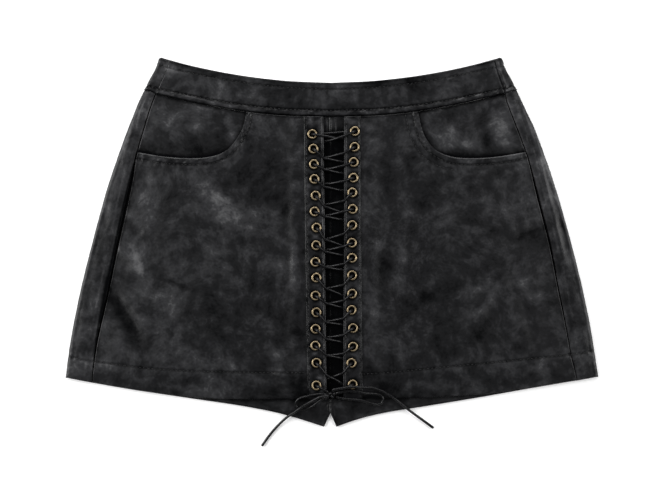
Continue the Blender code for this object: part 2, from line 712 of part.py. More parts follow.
# The cord's turn up through an eyelet: distance from its centre, and height, on the way in and out.
Turn = namedtuple("Turn", "reach height")
TURN_IN = (Turn(3.8, LACE_LOW), Turn(1.7, LACE_LOW + 0.45))
TURN_OUT = (Turn(1.3, LACE_CROWN - 0.9), Turn(3.6, LACE_CROWN), Turn(6.2, LACE_CROWN - 0.65))


def unit(vector):
    return vector / np.linalg.norm(vector)


def lace_end(half):
    """Route of one end of the cord, from below its first eyelet down to the knot, as (x, down, z)."""
    other = {LEFT: RIGHT, RIGHT: LEFT}
    came_from = np.array([CENTRE_X, half.eyelet(ROWS[0])[1]])
    route = []
    for row in ROWS:
        hole = half.eyelet(row)
        out = half.crossing(row, "out")
        inwards, outwards = unit(came_from - hole), unit(out - hole)
        route += [(*(hole + inwards * turn.reach), turn.height) for turn in TURN_IN]
        route.append((hole[0] + half.sign * 0.35, hole[1], (LACE_LOW + LACE_CROWN) / 2))
        route += [(*(hole + outwards * turn.reach), turn.height) for turn in TURN_OUT]
        route.append((*out, LACE_HIGH))
        if row is not ROWS[-1]:
            arrival = other[half].crossing(row, "in")
            for fall in FALLS:
                height = LACE_HIGH - fall.drop * (LACE_HIGH - LACE_LOW)
                route.append((*(out + fall.way * (arrival - out)), height))
            route.append((*arrival, LACE_LOW))
            came_from, half = arrival, other[half]
    return route + [from_knot(LACE_ENTRY[half.name], KNOT_CLEAR)]


def from_knot(entry, clear):
    """Point on a ray from the knot's centre, a clearance outside it."""
    turn, rise = radians(entry.turn), radians(entry.rise)
    ray = np.array([cos(rise) * cos(turn), -cos(rise) * sin(turn), sin(rise)])
    surface = 1 / np.linalg.norm(ray / np.array(KNOT_HALF))
    return tuple(np.array(KNOT_CENTRE) + ray * (surface + clear))


def lacing_route():
    """The whole laced part of the cord, from the knot up to the first eyelets and back to the knot."""
    return list(reversed(lace_end(RIGHT))) + lace_end(LEFT)


def bow_route(bow):
    """Route of one of the bow's free cords, from the knot, and back to it where it is a loop."""
    route = [from_knot(bow.leaves, KNOT_CLEAR), from_knot(bow.leaves, KNOT_LEAD), *bow.stops]
    if bow.returns:
        route += [from_knot(bow.returns, KNOT_LEAD), from_knot(bow.returns, KNOT_CLEAR)]
    return route


def bow_knot(finish):
    """The bow's knot, between the strips."""
    bm = bmesh.new()
    bmesh.ops.create_uvsphere(bm, u_segments=12, v_segments=8, radius=1.0)
    bmesh.ops.scale(bm, verts=bm.verts, vec=Vector(KNOT_HALF) * MM)
    bmesh.ops.translate(bm, verts=bm.verts, vec=Vector(lift(np.array(KNOT_CENTRE[:2]), KNOT_CENTRE[2])))
    mesh = mesh_of("bow_knot", bm)
    mesh.shade_smooth()
    return link("bow_knot", mesh, finish)


# ---------------------------------------------------------------- assembly


def build_skort():
    """Make every piece of the skort."""
    leather = make_material("washed_leather", (0.035, 0.035, 0.036), 0.55)
    band = make_material("waistband_leather", (0.03, 0.03, 0.031), 0.5)
    brass = make_material("antique_brass", (0.42, 0.31, 0.15), 0.35, 1.0)
    lace = make_material("waxed_lace", (0.012, 0.012, 0.013), 0.5)

    waistband_back(band)
    waistband_front(band)
    for half in HALVES:
        back_panel(half, leather)
        shorts_front(half, leather)
        pocket_facing(half, leather)
        layers = [skirt_front(half, leather), eyelet_strip(half, leather)]
        punch(f"eyelet_punch_{half.name}", half, layers)
        for number, row in enumerate(ROWS, start=1):
            eyelet(half, number, row, brass)
    cord("lacing", lacing_route(), LACE_STEP, lace)
    bow_knot(lace)
    for bow in BOWS:
        cord(bow.name, bow_route(bow), BOW_STEP, lace)


for old in list(bpy.data.objects):
    bpy.data.objects.remove(old, do_unlink=True)
build_skort()
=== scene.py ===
"""The looks of a black washed faux-leather skort with a laced front, laid flat on its back.

All sizes in the tables and fields are in millimetres. "Down" is the distance below the upper corners of the
waistband, "across" runs from 0 at the centre line to 1 at the side, and "left" and "right" are as one looks
at the front. A plan point is (x, down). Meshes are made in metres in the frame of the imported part.
"""

import logging
import math
from dataclasses import dataclass, field
from enum import Enum
from typing import Callable, NamedTuple, Sequence

import bpy
import numpy as np
from numpy.typing import NDArray
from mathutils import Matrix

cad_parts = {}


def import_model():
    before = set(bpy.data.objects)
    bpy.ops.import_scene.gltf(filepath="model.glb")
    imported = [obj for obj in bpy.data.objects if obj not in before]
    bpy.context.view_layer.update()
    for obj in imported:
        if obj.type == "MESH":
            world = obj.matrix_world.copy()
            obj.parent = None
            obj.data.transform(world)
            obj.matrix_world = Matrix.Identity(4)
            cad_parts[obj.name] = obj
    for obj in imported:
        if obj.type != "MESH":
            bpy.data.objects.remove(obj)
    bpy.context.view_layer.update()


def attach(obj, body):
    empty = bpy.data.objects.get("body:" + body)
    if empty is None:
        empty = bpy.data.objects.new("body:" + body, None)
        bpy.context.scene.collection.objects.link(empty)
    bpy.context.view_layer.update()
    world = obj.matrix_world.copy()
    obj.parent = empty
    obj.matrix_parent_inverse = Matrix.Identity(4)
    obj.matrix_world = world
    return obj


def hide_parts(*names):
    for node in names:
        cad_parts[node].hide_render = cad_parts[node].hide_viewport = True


Array = NDArray[np.float64]
Colour = tuple[float, float, float]
StitchRows = list[tuple[Array, Array]]
Material, Mesh, Node, Socket = bpy.types.Material, bpy.types.Mesh, bpy.types.Node, bpy.types.NodeSocket
LOG = logging.getLogger("skort")

# Sizes. A closed gap is negative, because pieces that meet overlap by a hair, so that no floor shows
# between them; the side runs from its high to its low end beside the waistband.
MM = 0.001
LENGTH = 369.6
CENTRE_X = -1.5
CLOTH = 1.2
BAND = 2.2
STRIP = 1.0
GAP = 0.3
CLOSED_GAP = -0.04
FOLD_RADIUS = 2.4
CROTCH_DOWN = 356.0
TUCK = 3.0
LEG_HEM_ROW = 24.0
SIDE_HIGH = 2.5
SIDE_LOW = 35.5
WAIST_LOW = 59.0
SEAM_LOW = 318.0

# Heights of the layers' undersides, and how far they are raised or lowered.
SHORTS_Z = CLOTH + GAP
FACING_Z = SHORTS_Z + CLOTH + GAP
SKIRT_Z = FACING_Z + CLOTH + GAP
BAND_Z = 3.6
LACE_ROOM = 1.4
HEM_DROP = 1.2
SKIRT_PUFF = 0.9
WRAP_PUFF = 0.9
BAND_PUFF = 0.5
BAND_CENTRE = (0.0, 30.0)
STRIP_TOP = SKIRT_Z + LACE_ROOM + CLOTH + GAP + STRIP
PUNCH = 3.9

# Stretches over which heights change: distances down, and distances from the strip or the side seam.
LACED_FROM, LACED_TO = (60, 70), (332.5, 341.5)
BESIDE_LACING = (2, 26)
HEM_FALL = (314, 336)
PUFF_FROM, PUFF_TO = (60, 130), (260, 320)
PUFF_IN, PUFF_OUT = (4, 60), (0, 50)

# The cord's diameter, and the heights of its middle below, over and above the strips.
LACE = 2.6
LACE_LOW = FACING_Z + LACE / 2 + 0.05
LACE_HIGH = STRIP_TOP + GAP + LACE / 2 + 0.05
LACE_CROWN = LACE_HIGH + 1.3


class Slot(Enum):
    """The part's material slots."""

    LEATHER = "washed_leather"
    BRASS = "antique_brass"
    CORD = "waxed_lace"


# ---- the garment's plan


class Side(NamedTuple):
    """Half the garment's width and how far the back wraps forward."""

    down: float
    left: float
    right: float
    wrap_left: float
    wrap_right: float


class Waist(NamedTuple):
    """The waistband's two edges."""

    across: float
    upper: float
    lower: float


class Edge(NamedTuple):
    """Distance down to an edge on either half."""

    across: float
    left: float
    right: float


class Pocket(NamedTuple):
    """A point of the pocket opening on either half."""

    left: float
    right: float
    down: float


class Placket(NamedTuple):
    """The two edges of each eyelet strip."""

    down: float
    left_inner: float
    left_outer: float
    right_inner: float
    right_outer: float


class Row(NamedTuple):
    """A pair of eyelets, and where the cord crosses the strips' inner edges."""

    left_x: float
    left_down: float
    left_out: float
    right_in: float
    right_x: float
    right_down: float
    right_out: float
    left_in: float


class Fold(NamedTuple):
    """A soft ridge, or a trough where rise is negative, between two plan points; bow bends it sideways."""

    x0: float
    down0: float
    x1: float
    down1: float
    rise: float
    width: float
    bow: float


class WashAndLightPatch(NamedTuple):
    """A soft elliptical patch, lighter, or darker where strength is negative: the wash's own patches, painted
    highlights on folds and painted shade.
    """

    x: float
    down: float
    along: float
    across: float
    turn: float
    strength: float


def table(kind: type, *rows: tuple) -> tuple:
    """Table whose rows are of one kind, from plain tuples."""
    return tuple(kind(*row) for row in rows)


SIDES = table(
    Side,
    (0, 173.0, 170.0, 10.5, 8.0), (12, 177.5, 174.5, 12.5, 9.5), (22, 183.0, 180.0, 13.5, 11.5),
    (32, 188.0, 185.0, 14.0, 13.0), (45, 194.0, 191.0, 14.5, 16.0), (70, 204.0, 202.5, 16.5, 18.0),
    (100, 215.0, 214.0, 19.0, 18.5), (140, 228.0, 227.0, 23.0, 21.0), (190, 241.5, 241.0, 26.0, 22.5),
    (240, 253.5, 253.0, 28.0, 25.0), (290, 263.0, 262.5, 27.0, 25.0), (321, 267.0, 267.0, 27.5, 22.5))
WAIST = table(
    Waist,
    (0.0, 25.2, WAIST_LOW), (0.2, 23.8, 58.0), (0.4, 20.4, 54.8), (0.6, 15.2, 49.0), (0.8, 8.3, 41.3),
    (1.0, 0.0, 32.8))
LEG_HEM = table(
    Edge,
    (0.0, 369.6, 369.6), (0.06, 364.6, 364.0), (0.12, 359.8, 359.3), (0.2, 354.5, 354.8),
    (0.32, 348.6, 349.8), (0.52, 340.9, 341.2), (0.75, 332.0, 330.6), (1.0, 320.5, 319.5))
SKIRT_HEM = table(
    Edge,
    (0.0, 341.5, 341.5), (0.2, 342.0, 340.8), (0.37, 341.7, 340.0), (0.55, 340.3, 337.5),
    (0.63, 338.4, 336.0), (0.8, 333.0, 330.3), (1.0, 324.2, 322.8))
HEM_ROW = table(
    Edge,
    (0.0, 315.3, 317.6), (0.12, 315.2, 316.5), (0.45, 314.2, 308.9), (0.66, 311.5, 303.4),
    (0.86, 305.0, 298.0), (0.96, 301.0, 294.6), (1.0, 298.5, 292.5))
POCKET = table(
    Pocket,
    (85.5, 86.0, 54.0), (88.5, 89.0, 68.0), (94.5, 93.5, 80.0), (103.5, 102.0, 91.0),
    (115.0, 114.0, 97.5), (130.0, 128.0, 100.3), (148.0, 147.0, 100.6), (170.0, 168.0, 98.8),
    (196.0, 194.0, 94.5))
FACING_EDGE = table(
    Edge,
    (0.0, 76.0, 76.0), (0.1, 94.0, 94.0), (0.3, 108.0, 108.0), (0.6, 111.0, 111.0), (1.0, 106.0, 106.0))
FACING_INNER = 79.0
POCKET_RUN = 122.0
PLACKET = table(
    Placket,
    (50, -8.7, -28.2, 12.0, 28.5), (150, -7.4, -27.2, 12.0, 29.0), (260, -6.2, -25.6, 11.4, 30.0),
    (345, -5.2, -24.4, 11.0, 30.6))
PLACKET_SETBACK = 0.6
ROWS = table(
    Row,
    (-19.6, 76.9, 78.8, 81.5, 22.9, 74.0, 79.0, 84.6),
    (-18.6, 91.5, 100.8, 104.5, 22.6, 89.7, 95.9, 100.5),
    (-18.0, 106.9, 112.0, 116.2, 21.7, 104.9, 108.4, 112.3),
    (-17.5, 121.8, 129.5, 133.3, 21.4, 120.5, 123.9, 127.0),
    (-16.3, 138.3, 149.0, 155.5, 20.3, 135.2, 143.5, 147.5),
    (-17.3, 154.2, 159.0, 162.5, 20.7, 151.7, 154.0, 158.7),
    (-15.4, 170.2, 181.8, 188.5, 20.2, 167.8, 176.2, 182.3),
    (-15.8, 187.9, 194.1, 198.0, 19.9, 185.4, 188.9, 193.1),
    (-16.6, 204.5, 209.5, 212.8, 20.0, 200.5, 206.3, 209.7),
    (-15.6, 220.1, 230.5, 238.0, 20.1, 217.8, 227.1, 231.3),
    (-16.4, 238.1, 245.3, 250.5, 20.1, 236.2, 242.8, 246.8),
    (-15.5, 254.7, 264.3, 267.5, 19.6, 252.4, 260.5, 264.3),
    (-16.4, 271.3, 280.9, 285.0, 21.0, 270.5, 277.2, 280.3),
    (-16.6, 288.0, 297.1, 301.3, 21.0, 289.0, 295.7, 298.1),
    (-15.5, 305.1, 317.0, 326.3, 19.4, 305.3, 314.8, 322.0),
    (-15.6, 327.7, 333.3, 0.0, 20.7, 326.7, 330.5, 0.0))

# How far the side seam stands open on either side: the distance down, then each half's width.
SEAM_OPENING = table(
    Edge,
    (60, 0.0, 0.0), (100, 0.4, 0.1), (122, 2.1, 0.7), (150, 2.4, 0.9), (185, 1.8, 0.8), (235, 1.3, 0.4),
    (285, 0.7, 0.2), (315, 0.0, 0.0))

# How far the wrap is in shadow beside the side seam: the distance down, then each half's width.
SEAM_SHADE = table(
    Edge,
    (40, 0.7, 0.5), (100, 0.9, 0.6), (142, 2.0, 1.1), (202, 2.6, 0.9), (232, 3.4, 0.6), (265, 2.2, 0.4),
    (300, 0.7, 0.2), (320, 0.4, 0.2))

SKIRT_FOLDS = table(
    Fold,
    (-207, 163, -189, 177, -1.1, 4.0, 1.0), (-215, 184, -186, 218, 1.1, 6.0, 2.0),
    (-223, 234, -190, 291, -1.45, 6.0, -3.0), (-209, 236, -178, 286, 0.95, 7.0, -2.0),
    (-169, 221, -131, 237, -0.8, 3.2, 1.5), (-172, 213, -128, 229, 0.55, 6.0, 1.5),
    (-86, 136, -34, 152, -0.8, 5.0, 2.0), (-70, 305, -47, 337, -0.8, 4.0, 1.0),
    (-61, 288, -44, 338, 0.85, 5.0, 0.0), (-38, 66, -37, 320, 0.4, 4.5, 0.5),
    (-37.5, 186, -38.5, 230, 0.45, 2.4, 0.0), (-148, 106, -90, 168, 0.5, 14.0, 3.0),
    (-60, 214, -104, 262, -0.4, 9.0, 2.0), (-196, 112, -172, 150, -0.35, 9.0, 2.0),
    (-120, 190, -168, 196, -0.3, 7.0, -3.0), (-95, 255, -130, 300, 0.35, 10.0, 2.0),
    (171, 188, 214, 170, -1.15, 6.0, 2.0), (168, 176, 206, 160, 0.45, 6.0, 1.0),
    (143, 262, 175, 218, 0.5, 5.0, 1.0), (152, 266, 183, 224, -0.4, 5.5, 1.0),
    (62, 168, 74, 210, 0.45, 6.0, 1.0), (41, 66, 42, 318, 0.38, 4.5, -0.5),
    (187, 232, 206, 288, -0.4, 7.0, 2.0), (92, 232, 62, 290, -0.45, 9.0, -2.0),
    (122, 118, 98, 172, -0.35, 11.0, 2.0), (132, 128, 112, 178, 0.3, 9.0, 2.0),
    (84, 64, 66, 112, 0.35, 6.0, 1.0), (116, 296, 172, 306, 0.3, 8.0, 1.0))
LEG_FOLDS = table(
    Fold,
    (-6.0, 58, -4.8, 78, 1.6, 1.3, 0.4), (-1.5, 58, -0.8, 76, 1.8, 1.4, -0.4),
    (3.4, 58, 2.6, 79, 1.5, 1.3, 0.3), (0.5, 341, -3.7, 350, 0.3, 1.4, 0.3),
    (-3.7, 349, -1.8, 357, 0.28, 1.2, 0.0), (0.5, 349, 4.8, 368, 0.3, 1.5, 0.4),
    (-30, 342, -9, 366, -0.35, 4.0, 1.0), (36, 344, 24, 362, -0.3, 3.0, 1.0),
    (58, 342, 50, 356, 0.3, 4.0, 0.0))
WRAP_FOLDS = table(
    Fold,
    (190, 50, 206, 92, 0.7, 2.0, 0.5), (206, 92, 222, 158, 0.8, 2.2, 1.0),
    (199, 58, 214, 112, 0.6, 1.8, 0.5), (222, 158, 234, 208, 0.5, 2.5, 0.5),
    (226, 150, 240, 215, -0.3, 5.0, 0.5), (-196, 60, -211, 112, 0.5, 3.0, 0.5),
    (-224, 150, -236, 205, -0.35, 6.0, 1.0), (-246, 236, -250, 288, 0.3, 5.0, 1.0),
    (250, 250, 256, 298, 0.25, 5.0, 0.5))
BACK_FOLDS = table(
    Fold,
    (-226, 120, -176, 176, 0.45, 9.0, 3.0), (-236, 196, -190, 262, 0.5, 7.0, -4.0),
    (-150, 210, -92, 238, 0.35, 6.0, 2.0), (-104, 92, -34, 132, 0.4, 10.0, 3.0),
    (-64, 250, -28, 318, 0.45, 8.0, 2.0), (222, 132, 168, 172, 0.45, 8.0, -3.0),
    (232, 216, 182, 276, 0.5, 9.0, 4.0), (146, 186, 86, 226, 0.3, 6.0, 2.0),
    (98, 96, 30, 140, 0.4, 11.0, -3.0), (58, 258, 26, 320, 0.4, 7.0, -2.0))

# Patches on the front and the wraps: the wash's own, painted highlights on folds, and painted shade, as under
# the bow and along the right wrap's outer edge.
FRONT_WASH_AND_LIGHT = table(
    WashAndLightPatch,
    (-116, 144, 36, 13, 48, 0.6), (-92, 154, 24, 17, 35, 2.1), (-126, 128, 18, 9, 30, 0.65),
    (-37.5, 205, 30, 3.2, 90, 1.4), (-52, 196, 30, 10, 80, 0.95), (-39, 140, 50, 4.0, 89, 0.25),
    (-54, 308, 28, 6.5, 71, 1.3), (-212, 284, 26, 14, 40, 0.5), (-189, 128, 34, 9, 97, 1.5),
    (-166, 138, 12, 8, 0, -0.7), (-105, 154, 12, 8, 20, 0.9), (-197, 200, 30, 7, 57, 1.3),
    (-194, 192, 22, 9, 80, 1.1), (-192, 214, 18, 10, 60, 1.3), (-170, 285, 22, 10, 20, 0.5),
    (-180, 150, 30, 10, 80, 0.6), (-150, 208, 40, 18, 20, 0.45), (-150, 246, 26, 10, 30, 0.6),
    (-150, 302, 42, 14, 8, 0.9), (-205, 298, 24, 12, 0, 1.4), (-166, 328, 44, 7, 8, 1.2),
    (-130, 333, 20, 6, 10, 0.9), (-71, 320, 14, 12, 0, 1.1), (-200, 186, 10, 8, 60, 0.6),
    (-146, 312, 16, 10, 0, 1.2), (-90, 208, 14, 12, 0, -0.5), (-57, 214, 20, 10, 60, 0.6),
    (-60, 206, 20, 12, 20, 0.7), (-56, 168, 12, 9, 0, 0.9), (-95, 88, 10, 14, 0, 0.6),
    (-101, 73, 16, 5, 75, 1.5), (-86, 80, 16, 6, 80, -1.0), (-72, 62, 16, 8, 90, 1.0),
    (-70, 106, 14, 10, 0, -0.7), (-32, 95, 12, 8, 90, 0.85), (-206, 262, 34, 10, 60, -2.4),
    (-198, 170, 13, 3.5, 42, -1.3), (-152, 130, 22, 15, 80, -0.85), (-150, 229, 24, 2.5, 23, -0.85),
    (-72, 138, 30, 20, 20, -0.95), (-54, 97, 15, 14, 0, -1.45), (-136, 121, 34, 8, 5, 0.3),
    (-42, 120, 12, 9, 0, -0.7), (-168, 267, 24, 9, 0, 1.1), (-132, 280, 22, 9, 0, 0.3),
    (-60, 252, 26, 20, 0, -1.0), (-38, 327, 22, 13, 0, -1.1), (-232, 204, 34, 8, 107, -0.85),
    (70, 201, 12, 6, 78, 1.8), (152, 194, 12, 14, 0, 0.8), (74, 184, 9, 9, 0, -1.2),
    (66, 212, 10, 5, 60, 0.8), (71, 116, 36, 5, 87, 0.45), (54, 168, 10, 10, 0, 0.8),
    (60, 220, 12, 5.0, 60, 0.45), (75, 76, 15, 7, 80, 0.45), (168, 146, 26, 18, 30, 1.7),
    (119, 137, 12, 8, 60, 1.4), (138, 136, 9, 7, 60, -0.8), (152, 153, 24, 8, 0, 0.6),
    (188, 222, 26, 11, 60, 1.7), (233, 170, 18, 7, 76, -1.6), (238, 202, 9, 7, 76, 1.3),
    (235, 233, 11, 8, 78, -1.4), (237, 264, 12, 7, 78, -1.0), (248, 242, 36, 6, 78, -1.0),
    (264, 312, 14, 8, 80, -2.2), (141, 229, 22, 11, -20, 0.85), (158, 240, 32, 4.5, -54, 1.0),
    (128, 266, 18, 9, 60, 0.6), (160, 304, 32, 7, -6, 0.85), (38, 138, 26, 8, 85, 0.6),
    (38, 246, 26, 6, 82, 0.8), (192, 117, 24, 9, 62, 1.3), (104, 150, 26, 10, 55, 0.4),
    (204, 205, 24, 8, 65, 0.45), (214, 262, 34, 8, 75, 0.45), (56, 202, 12, 18, 0, -1.45),
    (103, 209, 18, 14, 0, -1.6), (42, 216, 10, 12, 0, -0.9), (92, 246, 34, 14, 8, -1.7),
    (137, 248, 9, 9, 0, 1.2), (192, 178, 28, 7, -22, -1.15), (104, 112, 12, 12, 0, 0.5),
    (150, 121, 24, 6, 0, -0.5), (55, 94, 18, 12, 90, -0.7), (50, 284, 22, 10, 0, 0.6),
    (88, 312, 12, 9, 0, -1.1), (140, 276, 26, 10, 0, -0.7), (40, 326, 30, 13, 0, -1.0),
    (-145, 66, 20, 12, 20, 1.4), (-168, 104, 10, 6, 0, -0.8), (-203, 72, 12, 5, 105, -0.9),
    (-24, 152, 10, 8, 0, -0.9), (-40, 170, 10, 8, 0, -0.8), (-26, 328, 8, 8, 0, -0.9),
    (-204, 264, 12, 8, 60, -0.8), (-127, 84, 16, 9, 0, -0.85), (-128, 92, 34, 6, 2, -0.85),
    (169, 76, 24, 9, 80, 1.5), (120, 81, 18, 13, 0, 1.3), (184, 60, 14, 10, 60, 0.9),
    (178, 86, 26, 9, 66, 1.1), (122, 90, 26, 6, 0, 1.0), (138, 88, 9, 7, 0, 1.5),
    (192, 72, 12, 6, 66, 0.9), (214, 121, 10, 7, 66, -1.2), (150, 62, 24, 12, 0, 0.6),
    (154, 74, 20, 5, 84, -0.85), (130, 99, 34, 4, 0, -0.85), (-3, 64, 8, 7, 0, 0.85),
    (-28, 350, 22, 9, 20, -0.45), (52, 346, 14, 7, -10, 0.8), (0, 360, 16, 8, 0, -1.6),
    (36, 298, 12, 9, 0, -0.8), (-214, 122, 30, 7, 108, 1.2), (-234, 188, 20, 7, 105, -0.8),
    (-249, 246, 12, 6, 105, -0.8), (-232, 266, 12, 7, 105, 0.9), (-258, 296, 10, 12, 0, -0.45),
    (-232, 306, 22, 9, 10, 0.7), (209, 96, 28, 7, 66, 1.3), (228, 142, 34, 5, 70, 0.55),
    (256, 254, 22, 8, 80, -0.6), (258, 296, 14, 10, 60, 0.45), (187, 62, 14, 4, 65, 1.0),
    (200, 68, 26, 3.5, 68, 0.9), (196, 80, 20, 3, 66, -0.9), (-191, 74, 26, 4, 108, 0.4))
BAND_RUBS = table(
    WashAndLightPatch,
    (26, 37, 36, 6, 0, 0.8), (58, 24, 26, 7, 0, -1.5), (-118, 27, 22, 7, 14, 1.5),
    (130, 25, 28, 8, -12, 0.6), (-96, 40, 36, 7, 10, 1.0), (-150, 18, 14, 8, 20, 0.55),
    (160, 12, 12, 10, -20, 0.8), (166, 8, 6, 5, 0, 1.2), (176, 29, 12, 3, 66, 1.0),
    (-164, 10, 8, 12, 0, 0.6), (-158, 13, 13, 2.5, 14, 1.4), (-158, 38, 20, 3.0, 13, 1.2),
    (-104, 50, 18, 3.0, 8, 0.9))
BACK_RUBS = table(
    WashAndLightPatch,
    (-120, 140, 46, 14, 40, 1.05), (-190, 220, 30, 9, 55, 1.05), (-60, 250, 34, 10, 70, 0.8),
    (-210, 120, 26, 8, 60, 0.65), (-90, 310, 40, 8, 5, 0.65), (-150, 260, 34, 16, 10, -0.8),
    (-70, 110, 30, 18, 20, -0.8), (110, 160, 44, 13, -42, 1.05), (190, 240, 30, 9, -58, 1.05),
    (60, 220, 34, 9, -74, 0.8), (150, 300, 40, 9, -5, 0.65), (140, 210, 34, 16, 0, -0.8),
    (70, 100, 28, 18, 0, -0.65), (0, 200, 120, 5, 90, 0.5))


def monotone(xs: Sequence[float], ys: Sequence[float], x: Array | float) -> Array:
    """Smooth curve through points, a cubic on each stretch whose slopes never overshoot.

    Args:
        xs: rising places of the points.
        ys: values there.
        x: where the curve is read.

    Returns:
        The curve's values, held at the end values outside the points.
    """
    xs, ys, x = np.asarray(xs, float), np.asarray(ys, float), np.asarray(x, float)
    step = np.diff(xs)
    slope = np.diff(ys) / step
    tangent = np.zeros_like(ys)
    same_way = slope[:-1] * slope[1:] > 0
    mean = 2 * slope[:-1] * slope[1:] / np.where(same_way, slope[:-1] + slope[1:], 1.0)
    tangent[1:-1] = np.where(same_way, mean, 0.0)
    tangent[0], tangent[-1] = slope[0], slope[-1]
    i = np.clip(np.searchsorted(xs, x, side="right") - 1, 0, len(step) - 1)
    t = np.clip((x - xs[i]) / step[i], 0.0, 1.0)
    start = ys[i] * (2 * t**3 - 3 * t**2 + 1) + tangent[i] * step[i] * (t**3 - 2 * t**2 + t)
    return start + ys[i + 1] * (3 * t**2 - 2 * t**3) + tangent[i + 1] * step[i] * (t**3 - t**2)


def read(table: Sequence[NamedTuple], key: str, column: str, at: Array | float) -> Array:
    """Column of a table, read smoothly at values of its key."""
    return monotone([getattr(r, key) for r in table], [getattr(r, column) for r in table], at)


def smoothstep(low: float, high: float, x: Array | float) -> Array:
    """Smooth rise from 0 at low to 1 at high."""
    t = np.clip((np.asarray(x, float) - low) / (high - low), 0.0, 1.0)
    return t * t * (3 - 2 * t)


def plan(x: Array | float, down: Array | float) -> Array:
    """Plan points from their X and their distance down."""
    return np.stack(np.broadcast_arrays(np.asarray(x, float), np.asarray(down, float)), axis=-1)


def lift(points: Array, height: Array | float) -> Array:
    """Points in the frame, in metres, from plan points and heights in millimetres."""
    return np.stack([points[..., 0], LENGTH / 2 - points[..., 1], height + 0 * points[..., 0]], -1) * MM


def unit(vectors: Array) -> Array:
    """Vectors of length one."""
    return vectors / np.maximum(np.linalg.norm(vectors, axis=-1, keepdims=True), 1e-12)


def spaced(length: float, coarse: float, fine: Sequence[tuple[float, float, float]]) -> Array:
    """Shares of a length at which a grid has its lines, closer where there is fine detail.

    Args:
        length: the length in millimetres.
        coarse: the usual spacing.
        fine: places as (distance, half width, spacing there).

    Returns:
        Rising shares from 0 to 1.
    """
    at = np.linspace(0, length, 2000)
    spacing = np.full_like(at, coarse)
    for place, half, step in fine:
        near = 1 - smoothstep(half, half + 8, np.abs(at - place))
        spacing = np.minimum(spacing, coarse + near * (step - coarse))
    count = np.concatenate([[0], np.cumsum(np.diff(at) / ((spacing[1:] + spacing[:-1]) / 2))])
    lines = np.linspace(0, count[-1], int(np.ceil(count[-1])) + 1)
    return np.interp(lines, count, at) / length


@dataclass(frozen=True)
class Half:
    """One half of the garment in plan; sign is -1 on the left and +1 on the right."""

    name: str
    sign: int
    leg_tip: float

    def outline(self, down: Array | float) -> Array:
        """X of the outer fold."""
        return self.sign * read(SIDES, "down", self.name, down)

    def side_seam(self, down: Array | float) -> Array:
        """X of the seam between the wrapped back and the front."""
        return self.outline(down) - self.sign * read(SIDES, "down", "wrap_" + self.name, down)

    def seam_reach(self, down: float) -> float:
        """The side seam's place as a share of the way to the outer fold."""
        return float((self.side_seam(down) - CENTRE_X) / (self.outline(down) - CENTRE_X))

    def opening(self, down: Array | float) -> Array:
        """How far the front's edge stands back from the side seam."""
        return read(SEAM_OPENING, "across", self.name, down)

    def inner_edge(self, down: Array | float) -> Array:
        """X of the centre seam, and below the crotch of the leg's inner edge."""
        parted = np.clip((np.asarray(down, float) - CROTCH_DOWN) / (LENGTH - CROTCH_DOWN), 0, 1)
        return CENTRE_X + parted * (self.leg_tip - CENTRE_X) + self.sign * CLOSED_GAP / 2

    def leg_hem(self, across: Array | float) -> Array:
        """Distance down to the leg's hem."""
        return read(LEG_HEM, "across", self.name, across)

    def leg_hem_at(self, x: Array | float) -> Array:
        """Distance down to the leg's hem at an X."""
        return self.leg_hem((np.asarray(x, float) - self.leg_tip) / (self.outline(LENGTH) - self.leg_tip))

    def leg_hem_line(self, across: Array) -> Array:
        """Plan points of the leg's hem at shares of its width."""
        x = self.leg_tip + across * (self.outline(LENGTH) - self.leg_tip)
        return plan(x, self.leg_hem_at(x))

    def beside_seam(self, down: Array, out: float) -> Array:
        """Plan points a distance outside the side seam, or inside it where negative."""
        return plan(self.side_seam(down) + self.sign * out, down)

    def inside_fold(self, down: Array, inwards: float) -> Array:
        """Plan points a distance inside the outer fold."""
        return plan(self.outline(down) - self.sign * inwards, down)

    def beyond(self, edge: str, points: Array) -> Array:
        """Distance of plan points outside the eyelet strip's inner or outer edge."""
        return self.sign * (points[..., 0] - self.placket(edge, points[..., 1]))

    def near_eyelet(self, points: Array) -> Array:
        """Distance of plan points from the nearest eyelet."""
        eyes = np.array([self.eyelet(row) for row in ROWS])
        return np.linalg.norm(points[..., None, :] - eyes, axis=-1).min(-1)

    def skirt_hem(self, across: Array | float) -> Array:
        """Distance down to the skirt front's hem."""
        return read(SKIRT_HEM, "across", self.name, across)

    def waist_seam(self, x: Array | float) -> Array:
        """Distance down to the waistband's lower edge at an X."""
        across = np.linspace(0, 1, 101)
        down = read(WAIST, "across", "lower", across)
        x_of = CENTRE_X + across * (self.outline(down) - CENTRE_X)
        return np.interp(self.sign * np.asarray(x, float), self.sign * x_of, down)

    def placket(self, edge: str, down: Array | float) -> Array:
        """X of the inner or outer edge of the eyelet strip."""
        return read(PLACKET, "down", f"{self.name}_{edge}", down)

    def eyelet(self, row: Row) -> Array:
        """Plan point of this half's eyelet in a row."""
        return np.array([getattr(row, self.name + "_x"), getattr(row, self.name + "_down")])

    def crossing(self, row: Row, way: str) -> Array:
        """Plan point where the cord crosses this half's inner edge, out of or in to an eyelet."""
        down = getattr(row, f"{self.name}_{way}")
        return np.array([float(self.placket("inner", down)), down])

    def pocket(self, step: float = 2.0) -> Array:
        """Plan points of the pocket opening's edge, from the waistband to the side seam."""
        route = np.array([(self.sign * getattr(p, self.name), p.down) for p in POCKET])
        curve = smooth_route(route, step)
        to_seam = self.sign * (self.side_seam(curve[:, 1]) - curve[:, 0])
        return curve[(to_seam > GAP) & (curve[:, 1] > self.waist_seam(curve[:, 0]) + GAP)]


LEFT, RIGHT = Half("left", -1, -8.0), Half("right", 1, 4.5)
HALVES = (LEFT, RIGHT)


